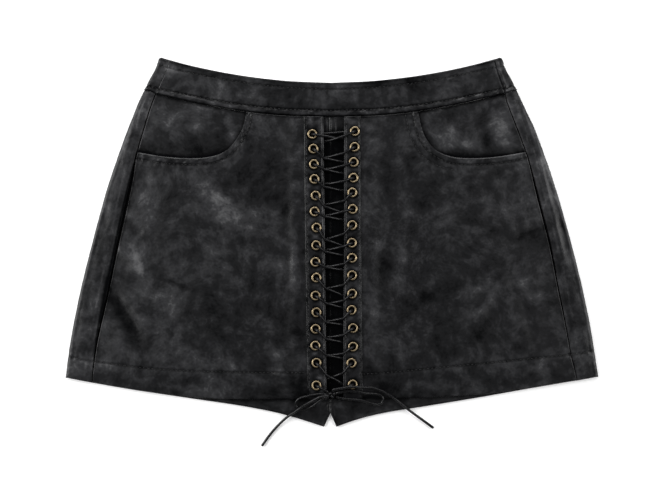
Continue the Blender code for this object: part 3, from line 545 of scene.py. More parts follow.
def smooth_route(points: Array, step: float) -> Array:
    """Points of a smooth curve through the given ones (Catmull-Rom), a step or less apart."""
    p = np.asarray(points, float)
    padded = np.vstack([2 * p[0] - p[1], p, 2 * p[-1] - p[-2]])
    a, b, c, d = padded[:-3], padded[1:-2], padded[2:-1], padded[3:]
    parts = np.maximum(1, np.ceil(np.linalg.norm(c - b, axis=1) / step).astype(int))
    span = np.repeat(np.arange(len(parts)), parts)
    first = np.repeat(np.cumsum(parts) - parts, parts)
    t = ((np.arange(parts.sum()) - first + 1) / parts[span])[:, None]
    a, b, c, d = a[span], b[span], c[span], d[span]
    curve = 0.5 * (2 * b + (c - a) * t + (2 * a - 5 * b + 4 * c - d) * t**2
                   + (3 * b - a - 3 * c + d) * t**3)
    return np.vstack([p[:1], curve])


def run_of(line: Array) -> Array:
    """Distance along a polyline at each of its points."""
    return np.concatenate([[0], np.cumsum(np.linalg.norm(np.diff(line, axis=0), axis=1))])


def evenly(line: Array, step: float) -> Array:
    """Points an even step apart along a polyline, ends included; columns after the third only go along."""
    run = run_of(line[:, :3])
    at = np.linspace(0, run[-1], max(2, int(round(run[-1] / step)) + 1))
    return np.stack([np.interp(at, run, line[:, k]) for k in range(line.shape[1])], axis=1)


def patch(top: Array, bottom: Array, start_x: Callable[[Array], Array], end_x: Callable[[Array], Array],
          us: Array, vs: Array) -> Array:
    """Grid of plan points that blends four edges (a Coons patch); rows follow vs and columns us.

    Args:
        top: plan points of the upper edge.
        bottom: plan points of the lower edge.
        start_x: X of the first side edge at distances down.
        end_x: X of the last side edge at distances down.
        us: the columns' shares of the way along.
        vs: the rows' shares of the way down.

    Returns:
        The grid.
    """
    start_down = top[0, 1] + vs * (bottom[0, 1] - top[0, 1])
    end_down = top[-1, 1] + vs * (bottom[-1, 1] - top[-1, 1])
    start, end = plan(start_x(start_down), start_down), plan(end_x(end_down), end_down)
    u, v = us[None, :, None], vs[:, None, None]
    ruled = (1 - v) * top[None] + v * bottom[None]
    turned = (1 - u) * start[:, None] + u * end[:, None]
    corners = ((1 - u) * (1 - v) * top[0] + u * (1 - v) * top[-1]
               + (1 - u) * v * bottom[0] + u * v * bottom[-1])
    return ruled + turned - corners


# ---- relief of the cloth


def distance_to(points: Array, line: Array) -> Array:
    """Distance in plan from each point to a polyline: the least of those to its stretches."""
    a, b = line[:-1], line[1:]
    stretch = b - a
    offset = points[..., None, :] - a
    t = np.clip((offset * stretch).sum(-1) / (stretch**2).sum(-1), 0, 1)
    return np.sqrt((((offset - t[..., None] * stretch) ** 2).sum(-1)).min(-1))


def ripple(points: Array, wavelength: float, seed: int, waves: int = 9) -> Array:
    """Irregular waves, about -1 to 1: the sum of plane waves in seeded directions and lengths."""
    rng = np.random.default_rng(seed)
    turn, phase = rng.uniform(0, 2 * np.pi, (2, waves))
    number = 2 * np.pi / (wavelength * rng.uniform(0.7, 1.5, waves))
    travel = points[..., 0, None] * np.cos(turn) + points[..., 1, None] * np.sin(turn)
    return np.sin(travel * number + phase).sum(-1) / np.sqrt(waves / 2) / 1.6


def bell(distance: Array, width: Array | float) -> Array:
    """Bell curve of a distance: exp(-(distance / width)^2)."""
    return np.exp(-((distance / width) ** 2))


def folds_height(points: Array, folds: Sequence[Fold]) -> Array:
    """Height of the listed folds: across a fold a bell curve, along it a taper, summed."""
    height = np.zeros(points.shape[:-1])
    for number, f in enumerate(folds):
        a, b = np.array([f.x0, f.down0]), np.array([f.x1, f.down1])
        length = np.linalg.norm(b - a)
        way = (b - a) / length
        along = (points - a) @ way / length
        bend = f.bow * 4 * along * (1 - along)
        aside = (points - a) @ np.array([-way[1], way[0]]) - bend
        taper = smoothstep(-0.12, 0.3, along) * (1 - smoothstep(0.62, 1.14, along))
        uneven = 1 + 0.22 * np.sin(along * 9 + number)
        wide = f.width * (0.8 + 0.35 * np.clip(along, 0, 1))
        height += f.rise * taper * uneven * bell(aside, wide)
    return height


def wash_and_light_strength(points: Array, wash_and_light_patches: Sequence[WashAndLightPatch]) -> Array:
    """Strength of the listed patches of wash, painted highlight and painted shade: soft ellipses, summed."""
    total = np.zeros(points.shape[:-1])
    for r in wash_and_light_patches:
        turn = math.radians(r.turn)
        dx, dy = points[..., 0] - r.x, points[..., 1] - r.down
        along = (dx * math.cos(turn) + dy * math.sin(turn)) / r.along
        across = (dy * math.cos(turn) - dx * math.sin(turn)) / r.across
        total += r.strength * np.exp(-(along**2 + across**2))
    return total


# ---- meshes


def new_mesh(name: str, vertices: Array, quads: NDArray, triangles: NDArray | None = None) -> Mesh:
    """Mesh from arrays of vertices in metres and of corner numbers."""
    parts = [quads.reshape(-1)] + ([triangles.reshape(-1)] if triangles is not None else [])
    starts = [np.arange(len(quads)) * 4]
    if triangles is not None:
        starts.append(len(quads) * 4 + np.arange(len(triangles)) * 3)
    corners, starts = np.concatenate(parts), np.concatenate(starts)
    mesh = bpy.data.meshes.new(name)
    mesh.vertices.add(len(vertices))
    mesh.vertices.foreach_set("co", np.asarray(vertices, np.float32).reshape(-1))
    mesh.loops.add(len(corners))
    mesh.loops.foreach_set("vertex_index", corners.astype(np.int32))
    mesh.polygons.add(len(starts))
    mesh.polygons.foreach_set("loop_start", starts.astype(np.int32))
    mesh.update(calc_edges=True)
    mesh.shade_smooth()
    return mesh


def store(mesh: Mesh, name: str, values: Array) -> None:
    """Keep a value for each vertex under a name."""
    mesh.attributes.new(name, "FLOAT", "POINT").data.foreach_set("value", values.astype(np.float32))


def facing_out(vertices: Array, quads: NDArray) -> NDArray:
    """The quads, turned round if the volume that they enclose is negative."""
    a, b, c, d = (vertices[quads[:, k]] for k in range(4))
    volume = (np.einsum("ij,ij->i", a, np.cross(b, c)) + np.einsum("ij,ij->i", a, np.cross(c, d))).sum()
    return quads if volume > 0 else quads[:, ::-1]


def grid_quads(rows: int, columns: int, first: int = 0) -> NDArray:
    """Corner numbers of a grid's quads."""
    i = first + np.arange(rows * columns).reshape(rows, columns)
    return np.stack([i[:-1, :-1], i[:-1, 1:], i[1:, 1:], i[1:, :-1]], -1).reshape(-1, 4)


def hole_walls(kept: NDArray, columns: int, inner_first: int) -> NDArray:
    """Quads that join the outer and inner faces round the holes where grid quads are left out.

    Args:
        kept: for each quad of the grid whether it stays.
        columns: columns of the grid's points.
        inner_first: number of the inner face's first point.

    Returns:
        Corner numbers: each edge between a kept and a dropped quad, and the same edge of the inner face.
    """
    r, c = np.nonzero(kept[:, :-1] != kept[:, 1:])
    upright = np.stack([r * columns + c + 1, (r + 1) * columns + c + 1], axis=1)
    turned = ~kept[r, c]
    upright[turned] = upright[turned, ::-1]
    r, c = np.nonzero(kept[:-1] != kept[1:])
    level = np.stack([(r + 1) * columns + c + 1, (r + 1) * columns + c], axis=1)
    turned = ~kept[r, c]
    level[turned] = level[turned, ::-1]
    edges = np.concatenate([upright, level])
    return np.concatenate([edges, inner_first + edges[:, ::-1]], axis=1)


def cloth_shell(name: str, outer: Array, inner: Array, masks: dict[str, Array],
                roundness: Array | float, holes: Array | None = None) -> Mesh:
    """Closed cloth between two grids whose rim is a half circle in section.

    Args:
        name: the mesh's name.
        outer: grid of points of the outer face, in metres.
        inner: grid of points of the inner face.
        masks: values for each grid point, stored as attributes.
        roundness: how far the faces stop short of the rim, in millimetres, anywhere or at each grid point.
        holes: plan points, in metres, round which a hole is left.

    Returns:
        The closed mesh.
    """
    rows, columns = outer.shape[:2]
    r = np.concatenate([np.zeros(columns - 1), np.arange(rows - 1), np.full(columns - 1, rows - 1),
                        np.arange(rows - 1, 0, -1)]).astype(int)
    c = np.concatenate([np.arange(columns - 1), np.full(rows - 1, columns - 1),
                        np.arange(columns - 1, 0, -1), np.zeros(rows - 1)]).astype(int)
    middle, half = (outer + inner) / 2, (outer - inner) / 2
    rim, thick = middle[r, c], half[r, c]
    out = unit(rim - middle[np.clip(r, 1, rows - 2), np.clip(c, 1, columns - 2)])
    along = unit(np.roll(rim, -1, 0) - np.roll(rim, 1, 0))
    out = unit(out - (out * along).sum(-1, keepdims=True) * along)
    out = unit(out - (out * unit(thick)).sum(-1, keepdims=True) * unit(thick))
    reach = np.broadcast_to(roundness, (rows, columns))[r, c, None] * MM
    centres = (outer[1:, 1:] + outer[:-1, :-1])[..., :2] / 2
    kept = np.ones((rows - 1, columns - 1), bool)
    if holes is not None:
        kept = np.linalg.norm(centres[..., None, :] - holes, axis=-1).min(-1) > PUNCH * MM
    outer, inner = outer.copy(), inner.copy()
    outer[r, c] -= out * reach
    inner[r, c] -= out * reach
    angles = np.radians([60, 30, 0, -30, -60])[:, None, None]
    rings = rim + out * reach * (np.cos(angles) - 1) + thick * np.sin(angles)
    vertices = np.concatenate([outer.reshape(-1, 3), inner.reshape(-1, 3), rings.reshape(-1, 3)])
    flat = r * columns + c
    loops = [flat] + [2 * rows * columns + k * len(flat) + np.arange(len(flat)) for k in range(len(rings))]
    loops.append(rows * columns + flat)
    sides = [np.stack([high, np.roll(high, -1), np.roll(low, -1), low], -1)
             for high, low in zip(loops, loops[1:])]
    quads = np.concatenate([
        grid_quads(rows, columns)[kept.reshape(-1), ::-1],
        grid_quads(rows, columns, rows * columns)[kept.reshape(-1)],
        hole_walls(kept, columns, rows * columns), *sides])
    used, numbers = np.unique(quads, return_inverse=True)
    vertices, quads = vertices[used], numbers.reshape(-1, 4)
    mesh = new_mesh(name, vertices, facing_out(vertices, quads))
    for mask, values in masks.items():
        every = np.concatenate([values.reshape(-1), values.reshape(-1), np.tile(values[r, c], len(rings))])
        store(mesh, mask, every[used])
    return mesh


def tube(name: str, path: Array, radius: Array | float, reference: Array, sides: int = 12,
         strands: int = 0) -> Mesh:
    """Round tube along a path with domed ends: circles square to the path, joined by quads.

    Args:
        name: the mesh's name.
        path: points of the centre line, in metres.
        radius: the radius at each point, or everywhere, in metres.
        reference: a direction that the path never takes, from which the circles' turn is counted.
        sides: the number of sides.
        strands: how many twisted strands show in its surface, or 0 for none.

    Returns:
        The closed mesh.
    """
    way = unit(np.gradient(path, axis=0))
    across = unit(reference - (way @ reference)[:, None] * way)
    up = np.cross(way, across)
    dome = np.radians([80, 55, 28])
    size = np.broadcast_to(np.asarray(radius, float), len(path))
    centre = np.concatenate([path[:1] - way[:1] * size[0] * np.sin(dome)[:, None], path,
                             path[-1:] + way[-1:] * size[-1] * np.sin(dome[::-1])[:, None]])
    size = np.concatenate([size[0] * np.cos(dome), size, size[-1] * np.cos(dome[::-1])])
    across, up = (np.concatenate([v[:1].repeat(3, 0), v, v[-1:].repeat(3, 0)]) for v in (across, up))
    angle = np.linspace(0, 2 * np.pi, sides, endpoint=False)
    run = run_of(centre) / MM
    weave = 1 + (0.05 * np.cos(strands * (angle[None] + run[:, None] * 0.9)) if strands else 0 * angle[None])
    ring = (across[:, None] * np.cos(angle)[None, :, None] + up[:, None] * np.sin(angle)[None, :, None])
    points = centre[:, None] + ring * (size[:, None] * weave)[..., None]
    count = len(points)
    i = np.arange(count * sides).reshape(count, sides)
    quads = np.stack([i[:-1], np.roll(i[:-1], -1, 1), np.roll(i[1:], -1, 1), i[1:]], -1).reshape(-1, 4)
    poles = np.stack([centre[0] - way[0] * size[1] * 0.02, centre[-1] + way[-1] * size[-2] * 0.02])
    ends = np.concatenate([
        np.stack([np.roll(i[0], -1), i[0], np.full(sides, count * sides)], -1),
        np.stack([i[-1], np.roll(i[-1], -1), np.full(sides, count * sides + 1)], -1)])
    vertices = np.concatenate([points.reshape(-1, 3), poles])
    return new_mesh(name, vertices, quads, ends)


def stitch_mesh(name: str, rows: Sequence[tuple[Array, Array]], pitch: float = 4.0, length: float = 2.6,
                thick: float = 0.24) -> Mesh:
    """Rows of short threads, each a capsule laid along its row and sunk a little in the cloth.

    Args:
        name: the mesh's name.
        rows: for each row its points and the cloth's outward directions, in metres.
        pitch: from one stitch to the next.
        length: of a stitch.
        thick: radius of the thread.

    Returns:
        One mesh with every stitch.
    """
    along = np.array([-0.5, -0.44, -0.22, 0.22, 0.44, 0.5]) * length
    girth = np.array([0.35, 0.8, 1.0, 1.0, 0.8, 0.35]) * thick
    sag = np.array([-0.35, -0.12, 0.0, 0.0, -0.12, -0.35]) * thick
    angle = np.linspace(0, 2 * np.pi, 6, endpoint=False)
    template = np.stack([
        np.repeat(along, 6), np.outer(girth, np.cos(angle)).reshape(-1),
        (np.outer(girth, np.sin(angle)) + sag[:, None] + 0.35 * thick).reshape(-1)], -1) * MM
    i = np.arange(36).reshape(6, 6)
    body = np.stack([i[:-1], i[1:], np.roll(i[1:], -1, 1), np.roll(i[:-1], -1, 1)], -1).reshape(-1, 4)
    caps = np.array([[0, 1, 2, 3], [0, 3, 4, 5], [33, 32, 31, 30], [35, 34, 33, 30]])
    shape = np.concatenate([body, caps])
    frames, places = [], []
    for line, normals in rows:
        points = evenly(np.hstack([line, normals]), pitch * MM)
        here, normal = points[:, :3], unit(points[:, 3:])
        way = unit(np.gradient(here, axis=0))
        side = unit(np.cross(normal, way))
        frames.append(np.stack([way, side, np.cross(way, side)], 1))
        places.append(here)
    frame, place = np.concatenate(frames), np.concatenate(places)
    vertices = (np.einsum("tk,skc->stc", template, frame) + place[:, None]).reshape(-1, 3)
    quads = (shape[None] + 36 * np.arange(len(place))[:, None, None]).reshape(-1, 4)
    return new_mesh(name, vertices, facing_out(vertices, quads))


def stand(name: str, data: bpy.types.ID) -> bpy.types.Object:
    """New object in the scene."""
    made = bpy.data.objects.new(name, data)
    bpy.context.scene.collection.objects.link(made)
    return made


def put(mesh: Mesh, material: Material, slot: Slot, *nodes: str) -> bpy.types.Object:
    """Object for a finished mesh: dressed, riding on the part's body and standing for its nodes."""
    mesh.materials.append(material)
    made = stand(mesh.name, mesh)
    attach(made, "root")
    if nodes:
        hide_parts(*nodes)
    LOG.info("%s: %d faces", mesh.name, len(mesh.polygons))
    return made


# ---- node trees


class Tree:
    """A node tree with short calls to add and join nodes."""

    def __init__(self, tree: bpy.types.NodeTree) -> None:
        """Keeps the tree."""
        self.tree = tree

    def add(self, kind: str, settings: dict | None = None, **sockets) -> Node:
        """Node of a kind, with properties from settings and sockets given values or links.

        Args:
            kind: the node's type without its ShaderNode prefix.
            settings: properties by name.
            **sockets: a value or an output for each input, by its name with _ for a space.

        Returns:
            The node.
        """
        node = self.tree.nodes.new(kind if kind.startswith("Node") else "ShaderNode" + kind)
        for key, value in (settings or {}).items():
            setattr(node, key, value)
        for key, value in sockets.items():
            self.set(node, key.replace("_", " "), value)
        return node

    def set(self, node: Node, name: str, value: object) -> None:
        """Give one input a value or a link."""
        socket = node.inputs[name]
        if isinstance(value, Socket):
            self.tree.links.new(value, socket)
        else:
            socket.default_value = value

    def math(self, operation: str, *values: object, clamp: bool = False) -> Socket:
        """Output of a Math node."""
        node = self.add("Math", {"operation": operation, "use_clamp": clamp})
        for socket, value in zip(node.inputs, values):
            if isinstance(value, Socket):
                self.tree.links.new(value, socket)
            else:
                socket.default_value = value
        return node.outputs[0]

    def range(self, value: object, low: float, high: float, to_low: float = 0.0,
              to_high: float = 1.0) -> Socket:
        """Output of a clamped Map Range node."""
        node = self.add("MapRange")
        for key, given in zip(("Value", "From Min", "From Max", "To Min", "To Max"),
                              (value, low, high, to_low, to_high)):
            self.set(node, key, given)
        return node.outputs["Result"]

    def ramp(self, value: object, stops: Sequence[tuple[float, tuple]]) -> Socket:
        """Colour output of a Color Ramp with these stops."""
        node = self.add("ValToRGB", Fac=value)
        elements = node.color_ramp.elements
        while len(elements) < len(stops):
            elements.new(0.5)
        for element, (at, colour) in zip(elements, stops):
            element.position = at
            element.color = (*colour, 1.0)
        return node.outputs["Color"]


def group(name: str, inputs: dict[str, float], outputs: Sequence[str],
          fill: Callable[[Tree, Node, Node], None]) -> bpy.types.NodeTree:
    """Shader node group with a Vector input, float inputs and float outputs, made once.

    Args:
        name: the group's name.
        inputs: default value of each float input.
        outputs: names of the float outputs.
        fill: builds the inside from the tree, its input node and its output node.

    Returns:
        The group.
    """
    if name in bpy.data.node_groups:
        return bpy.data.node_groups[name]
    made = bpy.data.node_groups.new(name, "ShaderNodeTree")
    made.interface.new_socket("Vector", in_out="INPUT", socket_type="NodeSocketVector")
    for key, value in inputs.items():
        made.interface.new_socket(key, in_out="INPUT", socket_type="NodeSocketFloat").default_value = value
    for key in outputs:
        made.interface.new_socket(key, in_out="OUTPUT", socket_type="NodeSocketFloat")
    tree = Tree(made)
    fill(tree, tree.add("NodeGroupInput"), tree.add("NodeGroupOutput"))
    return made


def cloudy_wash() -> bpy.types.NodeTree:
    """Group: the blotches that a wash leaves, at three sizes, with fine specks and creased lines."""

    def fill(tree: Tree, given: Node, out: Node) -> None:
        """Sum of warped noises, and a warped cell edge for the creased lines."""
        vector, size = given.outputs["Vector"], given.outputs["Blotches per metre"]
        warp = tree.add("TexNoise", Vector=vector, Scale=14.0, Detail=3.0)
        shift = tree.add("VectorMath", {"operation": "SCALE"})
        tree.set(shift, "Vector", warp.outputs["Color"])
        tree.set(shift, "Scale", 0.03)
        moved = tree.add("VectorMath", {"operation": "ADD"})
        tree.tree.links.new(vector, moved.inputs[0])
        tree.tree.links.new(shift.outputs[0], moved.inputs[1])
        place = moved.outputs[0]
        large = tree.add("TexNoise", Vector=place, Scale=size, Detail=4.0, Roughness=0.55)
        middle = tree.add("TexNoise", Vector=place, Scale=tree.math("MULTIPLY", size, 3.0), Detail=5.0,
                          Roughness=0.58)
        fine = tree.add("TexNoise", Vector=place, Scale=tree.math("MULTIPLY", size, 16.0), Detail=4.0,
                        Roughness=0.6)
        mixed = tree.math("ADD", tree.math("MULTIPLY", large.outputs[0], 0.46),
                          tree.math("MULTIPLY", middle.outputs[0], 0.54))
        tree.set(out, "Clouds", mixed)
        tree.set(out, "Specks", fine.outputs[0])
        cells = tree.add("TexVoronoi", {"feature": "DISTANCE_TO_EDGE"}, Vector=place,
                         Scale=tree.math("MULTIPLY", size, 8.0))
        lines = tree.range(cells.outputs["Distance"], 0.0, 0.05, 1.0, 0.0)
        broken = tree.range(middle.outputs[0], 0.5, 0.68)
        tree.set(out, "Creases", tree.math("MULTIPLY", lines, broken))

    return group("cloudy_wash", {"Blotches per metre": 26.0}, ("Clouds", "Specks", "Creases"), fill)


def leather_grain() -> bpy.types.NodeTree:
    """Group: height of pebbled leather grain, with a softer unevenness below it."""

    def fill(tree: Tree, given: Node, out: Node) -> None:
        """Rounded cells of two sizes plus noise."""
        vector, size = given.outputs["Vector"], given.outputs["Pebbles per metre"]
        cells = tree.add("TexVoronoi", {"feature": "SMOOTH_F1"}, Vector=vector, Scale=size,
                         Smoothness=0.35)
        wide = tree.add("TexNoise", Vector=vector, Scale=tree.math("MULTIPLY", size, 0.16), Detail=3.0)
        small = tree.add("TexNoise", Vector=vector, Scale=tree.math("MULTIPLY", size, 2.4), Detail=2.0)
        pebble = tree.range(cells.outputs["Distance"], 0.05, 0.75, 1.0, 0.0)
        height = tree.math("ADD", tree.math("MULTIPLY", pebble, 0.5),
                           tree.math("MULTIPLY", wide.outputs[0], 1.1))
        tree.set(out, "Height", tree.math("ADD", height, tree.math("MULTIPLY", small.outputs[0], 0.25)))

    return group("leather_grain", {"Pebbles per metre": 1100.0}, ("Height",), fill)


@dataclass
class Draft:
    """A new material being made: its tree, its shader and its place coordinates."""

    name: str
    made: Material = field(init=False)
    tree: Tree = field(init=False)
    shader: Node = field(init=False)
    place: Socket = field(init=False)

    def __post_init__(self) -> None:
        """Make the material."""
        self.made = bpy.data.materials.new(self.name)
        self.made.use_nodes = True
        self.tree = Tree(self.made.node_tree)
        self.shader = self.made.node_tree.nodes["Principled BSDF"]
        self.place = self.tree.add("TexCoord").outputs["Object"]

    def noise(self, scale: float, detail: float, roughness: float = 0.5) -> Socket:
        """Noise over the piece."""
        return self.tree.add("TexNoise", Vector=self.place, Scale=scale, Detail=detail,
                             Roughness=roughness).outputs[0]

    def mask(self, name: str) -> Socket:
        """Values stored on the mesh under a name."""
        return self.tree.add("Attribute", {"attribute_name": name}).outputs["Fac"]

    def set(self, **sockets: object) -> None:
        """Give the shader's inputs values or links, by their names with _ for a space."""
        for key, value in sockets.items():
            self.tree.set(self.shader, key.replace("_", " "), value)

    def bumped(self, height: Socket, strength: float, depth: float) -> Material:
        """The finished material, with a height joined to its normal through a bump node."""
        bump = self.tree.add("Bump", Height=height, Strength=strength, Distance=depth)
        self.set(Normal=bump.outputs["Normal"])
        return self.made


@dataclass(frozen=True)
class WashedLeather:
    """Black faux leather, washed so that its colour is cloudy and its raised edges are rubbed grey."""

    name: str
    black: Colour = (0.0018, 0.0019, 0.0022)
    charcoal: Colour = (0.0062, 0.0063, 0.0071)
    grey: Colour = (0.0230, 0.0232, 0.0250)
    # The lightest colour: rubbed leather, and painted highlights.
    rubbed: Colour = (0.0850, 0.0853, 0.0880)
    tone: float = 0.0
    blotches: float = 26.0
    clouds_gain: float = 1.9
    clouds_start: float = 0.54
    mask_gain: float = 0.17
    speck_gain: float = 0.36
    crease_gain: float = 0.12
    bump: float = 0.55
    bump_depth: float = 0.00008

    def material(self) -> Material:
        """The finish as a material: one tone from clouds, patches and wear, with the painted light and shade
        in the masks, drives colour and gloss.
        """
        draft = Draft(self.name)
        tree = draft.tree
        wash = tree.add("Group", {"node_tree": cloudy_wash()}, Vector=draft.place,
                        Blotches_per_metre=self.blotches)
        grain = tree.add("Group", {"node_tree": leather_grain()}, Vector=draft.place)
        tone = tree.math("MULTIPLY_ADD", wash.outputs["Clouds"], self.clouds_gain,
                         self.tone - self.clouds_start)
        # The wash and wear masks carry painted highlights and painted shade as well.
        for mask in ("wash", "wear"):
            tone = tree.math("MULTIPLY_ADD", draft.mask(mask), self.mask_gain, tone)
        specks = tree.math("SUBTRACT", wash.outputs["Specks"], 0.5)
        tone = tree.math("MULTIPLY_ADD", specks, self.speck_gain, tone)
        tone = tree.math("MULTIPLY_ADD", wash.outputs["Creases"], self.crease_gain, tone)
        colour = tree.ramp(tone, ((0.12, self.black), (0.40, self.charcoal), (0.68, self.grey),
                                  (1.0, self.rubbed)))
        draft.set(Base_Color=colour, Roughness=tree.range(tone, 0.0, 1.0, 0.29, 0.42),
                  Specular_IOR_Level=tree.range(tone, -0.15, 0.3, 0.02, 0.3))
        height = tree.math("MULTIPLY_ADD", wash.outputs["Creases"], -0.5, grain.outputs["Height"])
        return draft.bumped(height, self.bump, self.bump_depth)


@dataclass(frozen=True)
class AgedBrass:
    """Brass with a brown film that is rubbed off its high edges."""

    name: str = "aged_brass"
    bright: Colour = (0.40, 0.32, 0.20)
    dull: Colour = (0.05, 0.031, 0.017)

    def material(self) -> Material:
        """The finish as a material: noise mixes bright and dull metal, and roughens the dull."""
        draft = Draft(self.name)
        tree, film = draft.tree, draft.noise(420.0, 5.0, 0.65)
        spots = tree.math("MULTIPLY_ADD", draft.mask("wear"), -1.0, tree.range(film, 0.3, 0.7, 0.45, 1.2),
                          clamp=True)
        draft.set(Base_Color=tree.ramp(spots, ((0.0, self.bright), (0.7, self.dull))), Metallic=1.0,
                  Roughness=tree.range(film, 0.3, 0.7, 0.3, 0.5))
        return draft.bumped(draft.noise(3000.0, 2.0), 0.25, 0.00004)


@dataclass(frozen=True)
class WaxedThread:
    """Black waxed cord or thread, with fine fibres."""

    name: str
    dark: Colour
    light: Colour
    fibres: float
    depth: float

    def material(self) -> Material:
        """The finish as a material: noise for the fibres in colour, gloss and bump."""
        draft = Draft(self.name)
        fibre = draft.noise(self.fibres, 4.0, 0.7)
        draft.set(Base_Color=draft.tree.ramp(fibre, ((0.35, self.dark), (0.7, self.light))),
                  Roughness=draft.tree.range(fibre, 0.3, 0.7, 0.24, 0.34), Specular_IOR_Level=0.25)
        return draft.bumped(fibre, 0.6, self.depth)


@dataclass(frozen=True)
class Finishes:
    """Every material of the skort, made once."""

    leather: Material
    band: Material
    shorts: Material
    brass: Material
    cord: Material
    thread: Material

    @classmethod
    def make(cls) -> "Finishes":
        """All of them, with their own values."""
        return cls(
            leather=WashedLeather("washed_leather_body").material(),
            band=WashedLeather("washed_leather_band", tone=-0.03, blotches=30.0).material(),
            shorts=WashedLeather("washed_leather_shorts", tone=-0.06, blotches=24.0).material(),
            brass=AgedBrass().material(),
            cord=WaxedThread("waxed_cord", (0.0014, 0.0014, 0.0016), (0.008, 0.008, 0.009), 900.0,
                             0.0002).material(),
            thread=WaxedThread("sewing_thread", (0.004, 0.004, 0.004), (0.03, 0.03, 0.031), 2600.0,
                               0.00005).material(),
        )


# ---- sewn lines


def offset(line: Array, distance: float, towards: tuple[float, float]) -> Array:
    """A line moved sideways by a distance, to the side on which a plan point lies."""
    way = unit(np.gradient(line, axis=0))
    aside = np.stack([-way[:, 1], way[:, 0]], axis=1)
    middle = len(line) // 2
    sign = np.sign((np.array(towards) - line[middle]) @ aside[middle])
    return line + sign * distance * aside


def within(points: Array, outline: Array) -> Array:
    """Whether plan points lie in a closed outline: an odd number of its edges lie beyond them."""
    a, b = outline, np.roll(outline, -1, axis=0)
    y = points[:, None, 1]
    spans = (a[:, 1] > y) != (b[:, 1] > y)
    rise = np.where(b[:, 1] == a[:, 1], 1.0, b[:, 1] - a[:, 1])
    crossing = a[:, 0] + (y - a[:, 1]) / rise * (b[:, 0] - a[:, 0])
    return ((spans & (points[:, None, 0] < crossing)).sum(1) % 2) == 1


@dataclass(frozen=True)
class Seam:
    """A sewn line in the cloth, as relief, as wear and as painted shade.

    A groove is pulled in along it, with puckers on both sides; a negative groove is a ridge. Its shade is
    painted shade in the groove, together with the dye left dark there, or how far a ridge is rubbed where
    negative. Where an edge runs beside it, an inset away, the cloth between the two is rolled and rubbed.
    Near is how far the puckers reach, and beside is how far the cloth next to the stitches is lightened: it
    is rubbed there, and a painted highlight stands for the lip that it rises in.
    """

    line: Array
    edge: Array | None = None
    inset: float = 7.0
    groove: float = 0.3
    width: float = 1.1
    shade: float = 1.2
    roll: float = 0.35
    rubbed: float = 0.45
    pucker: float = 0.16
    beside: float = 0.35
    near: float = 4.0
    stitched: bool = True
    seed: int = 1

    def between(self, to_line: Array, to_edge: Array) -> Array:
        """Half a sine wave from the edge to the line, and 0 outside the two."""
        inside = to_edge + to_line < 1.25 * self.inset
        return inside * np.sin(np.pi * np.clip(to_edge / self.inset, 0, 1))

    def height(self, points: Array) -> Array:
        """Relief in millimetres: bell-shaped groove, irregular puckers, half sine wave for the roll."""
        d = distance_to(points, self.line)
        near = bell(d, self.near)
        height = -self.groove * bell(d, self.width)
        height += self.pucker * near * ripple(points, 6.0, self.seed)
        if self.edge is not None:
            e = distance_to(points, self.edge)
            between = self.between(d, e) ** 0.7
            height += self.roll * between * (1 + 0.35 * ripple(points, 9.0, self.seed + 50))
            height += 0.8 * self.pucker * between * ripple(points, 3.6, self.seed + 70)
        return height

    def wear(self, points: Array) -> Array:
        """Painted shade in the groove, or a ridge rubbed lighter; the roll is rubbed lighter, and the cloth
        beyond is rubbed and painted with a highlight.
        """
        d = distance_to(points, self.line)
        # Painted shade along the groove, with the dye left dark there; lighter on a rubbed ridge.
        wear = -self.shade * bell(d, 0.85 * self.width)
        if self.stitched:
            streaks = 0.6 + 0.9 * ripple(points, 8.0, self.seed + 4)
            # Painted highlight on the lip of cloth beside the stitches, which is also rubbed.
            wear += self.beside * bell(d - 2.8, 1.5) * streaks
        if self.edge is not None:
            e = distance_to(points, self.edge)
            between = self.between(d, e)
            wear += self.rubbed * between * (0.8 + 0.6 * ripple(points, 16.0, self.seed + 9)
                                             + 0.5 * ripple(points, 3.6, self.seed + 70))
        return wear


def surface_rows(seams: Sequence[Seam], outline: Array, top: Callable[[Array], Array],
                 facing: int = 1) -> StitchRows:
    """Rows for stitches on a surface whose height is a function of plan points.

    Args:
        seams: the sewn lines; those that aren't stitched are left out.
        outline: closed plan outline of the surface, in which stitches stay 1.5 mm or more.
        top: height in millimetres at plan points.
        facing: 1 where the surface looks up and -1 where it looks down.

    Returns:
        For each unbroken stretch its points and normals; a normal is (-dz/dx, -dz/dy, 1).
    """
    rows = []
    for seam in seams:
        if not seam.stitched:
            continue
        line = evenly(seam.line, 1.0)
        kept = within(line, outline) & (distance_to(line, np.vstack([outline, outline[:1]])) > 1.5)
        cuts = np.flatnonzero(np.diff(kept.astype(int))) + 1
        for stretch, keep in zip(np.split(line, cuts), np.split(kept, cuts)):
            if not keep[0] or len(stretch) < 6:
                continue
            height = top(stretch)
            slope_x = top(stretch + (0.3, 0)) - top(stretch - (0.3, 0))
            slope_down = top(stretch + (0, 0.3)) - top(stretch - (0, 0.3))
            normal = facing * np.stack([-slope_x / 0.6, slope_down / 0.6, np.ones(len(stretch))], 1)
            rows.append((lift(stretch, height), unit(normal)))
    return rows


def rim_of(grid: Array) -> Array:
    """Closed outline of a grid of plan points."""
    return np.concatenate([grid[0], grid[1:, -1], grid[-1, -2::-1], grid[-2:0:-1, 0]])


def surface_area(grid: Array) -> float:
    """Area of a grid of points: half the cross product of each quad's diagonals, summed."""
    across, down = grid[1:, 1:] - grid[:-1, :-1], grid[1:, :-1] - grid[:-1, 1:]
    if grid.shape[-1] == 2:
        return float(np.abs(across[..., 0] * down[..., 1] - across[..., 1] * down[..., 0]).sum() / 2)
    return float(np.linalg.norm(np.cross(across, down), axis=-1).sum() / 2)


# ---- pieces of cloth


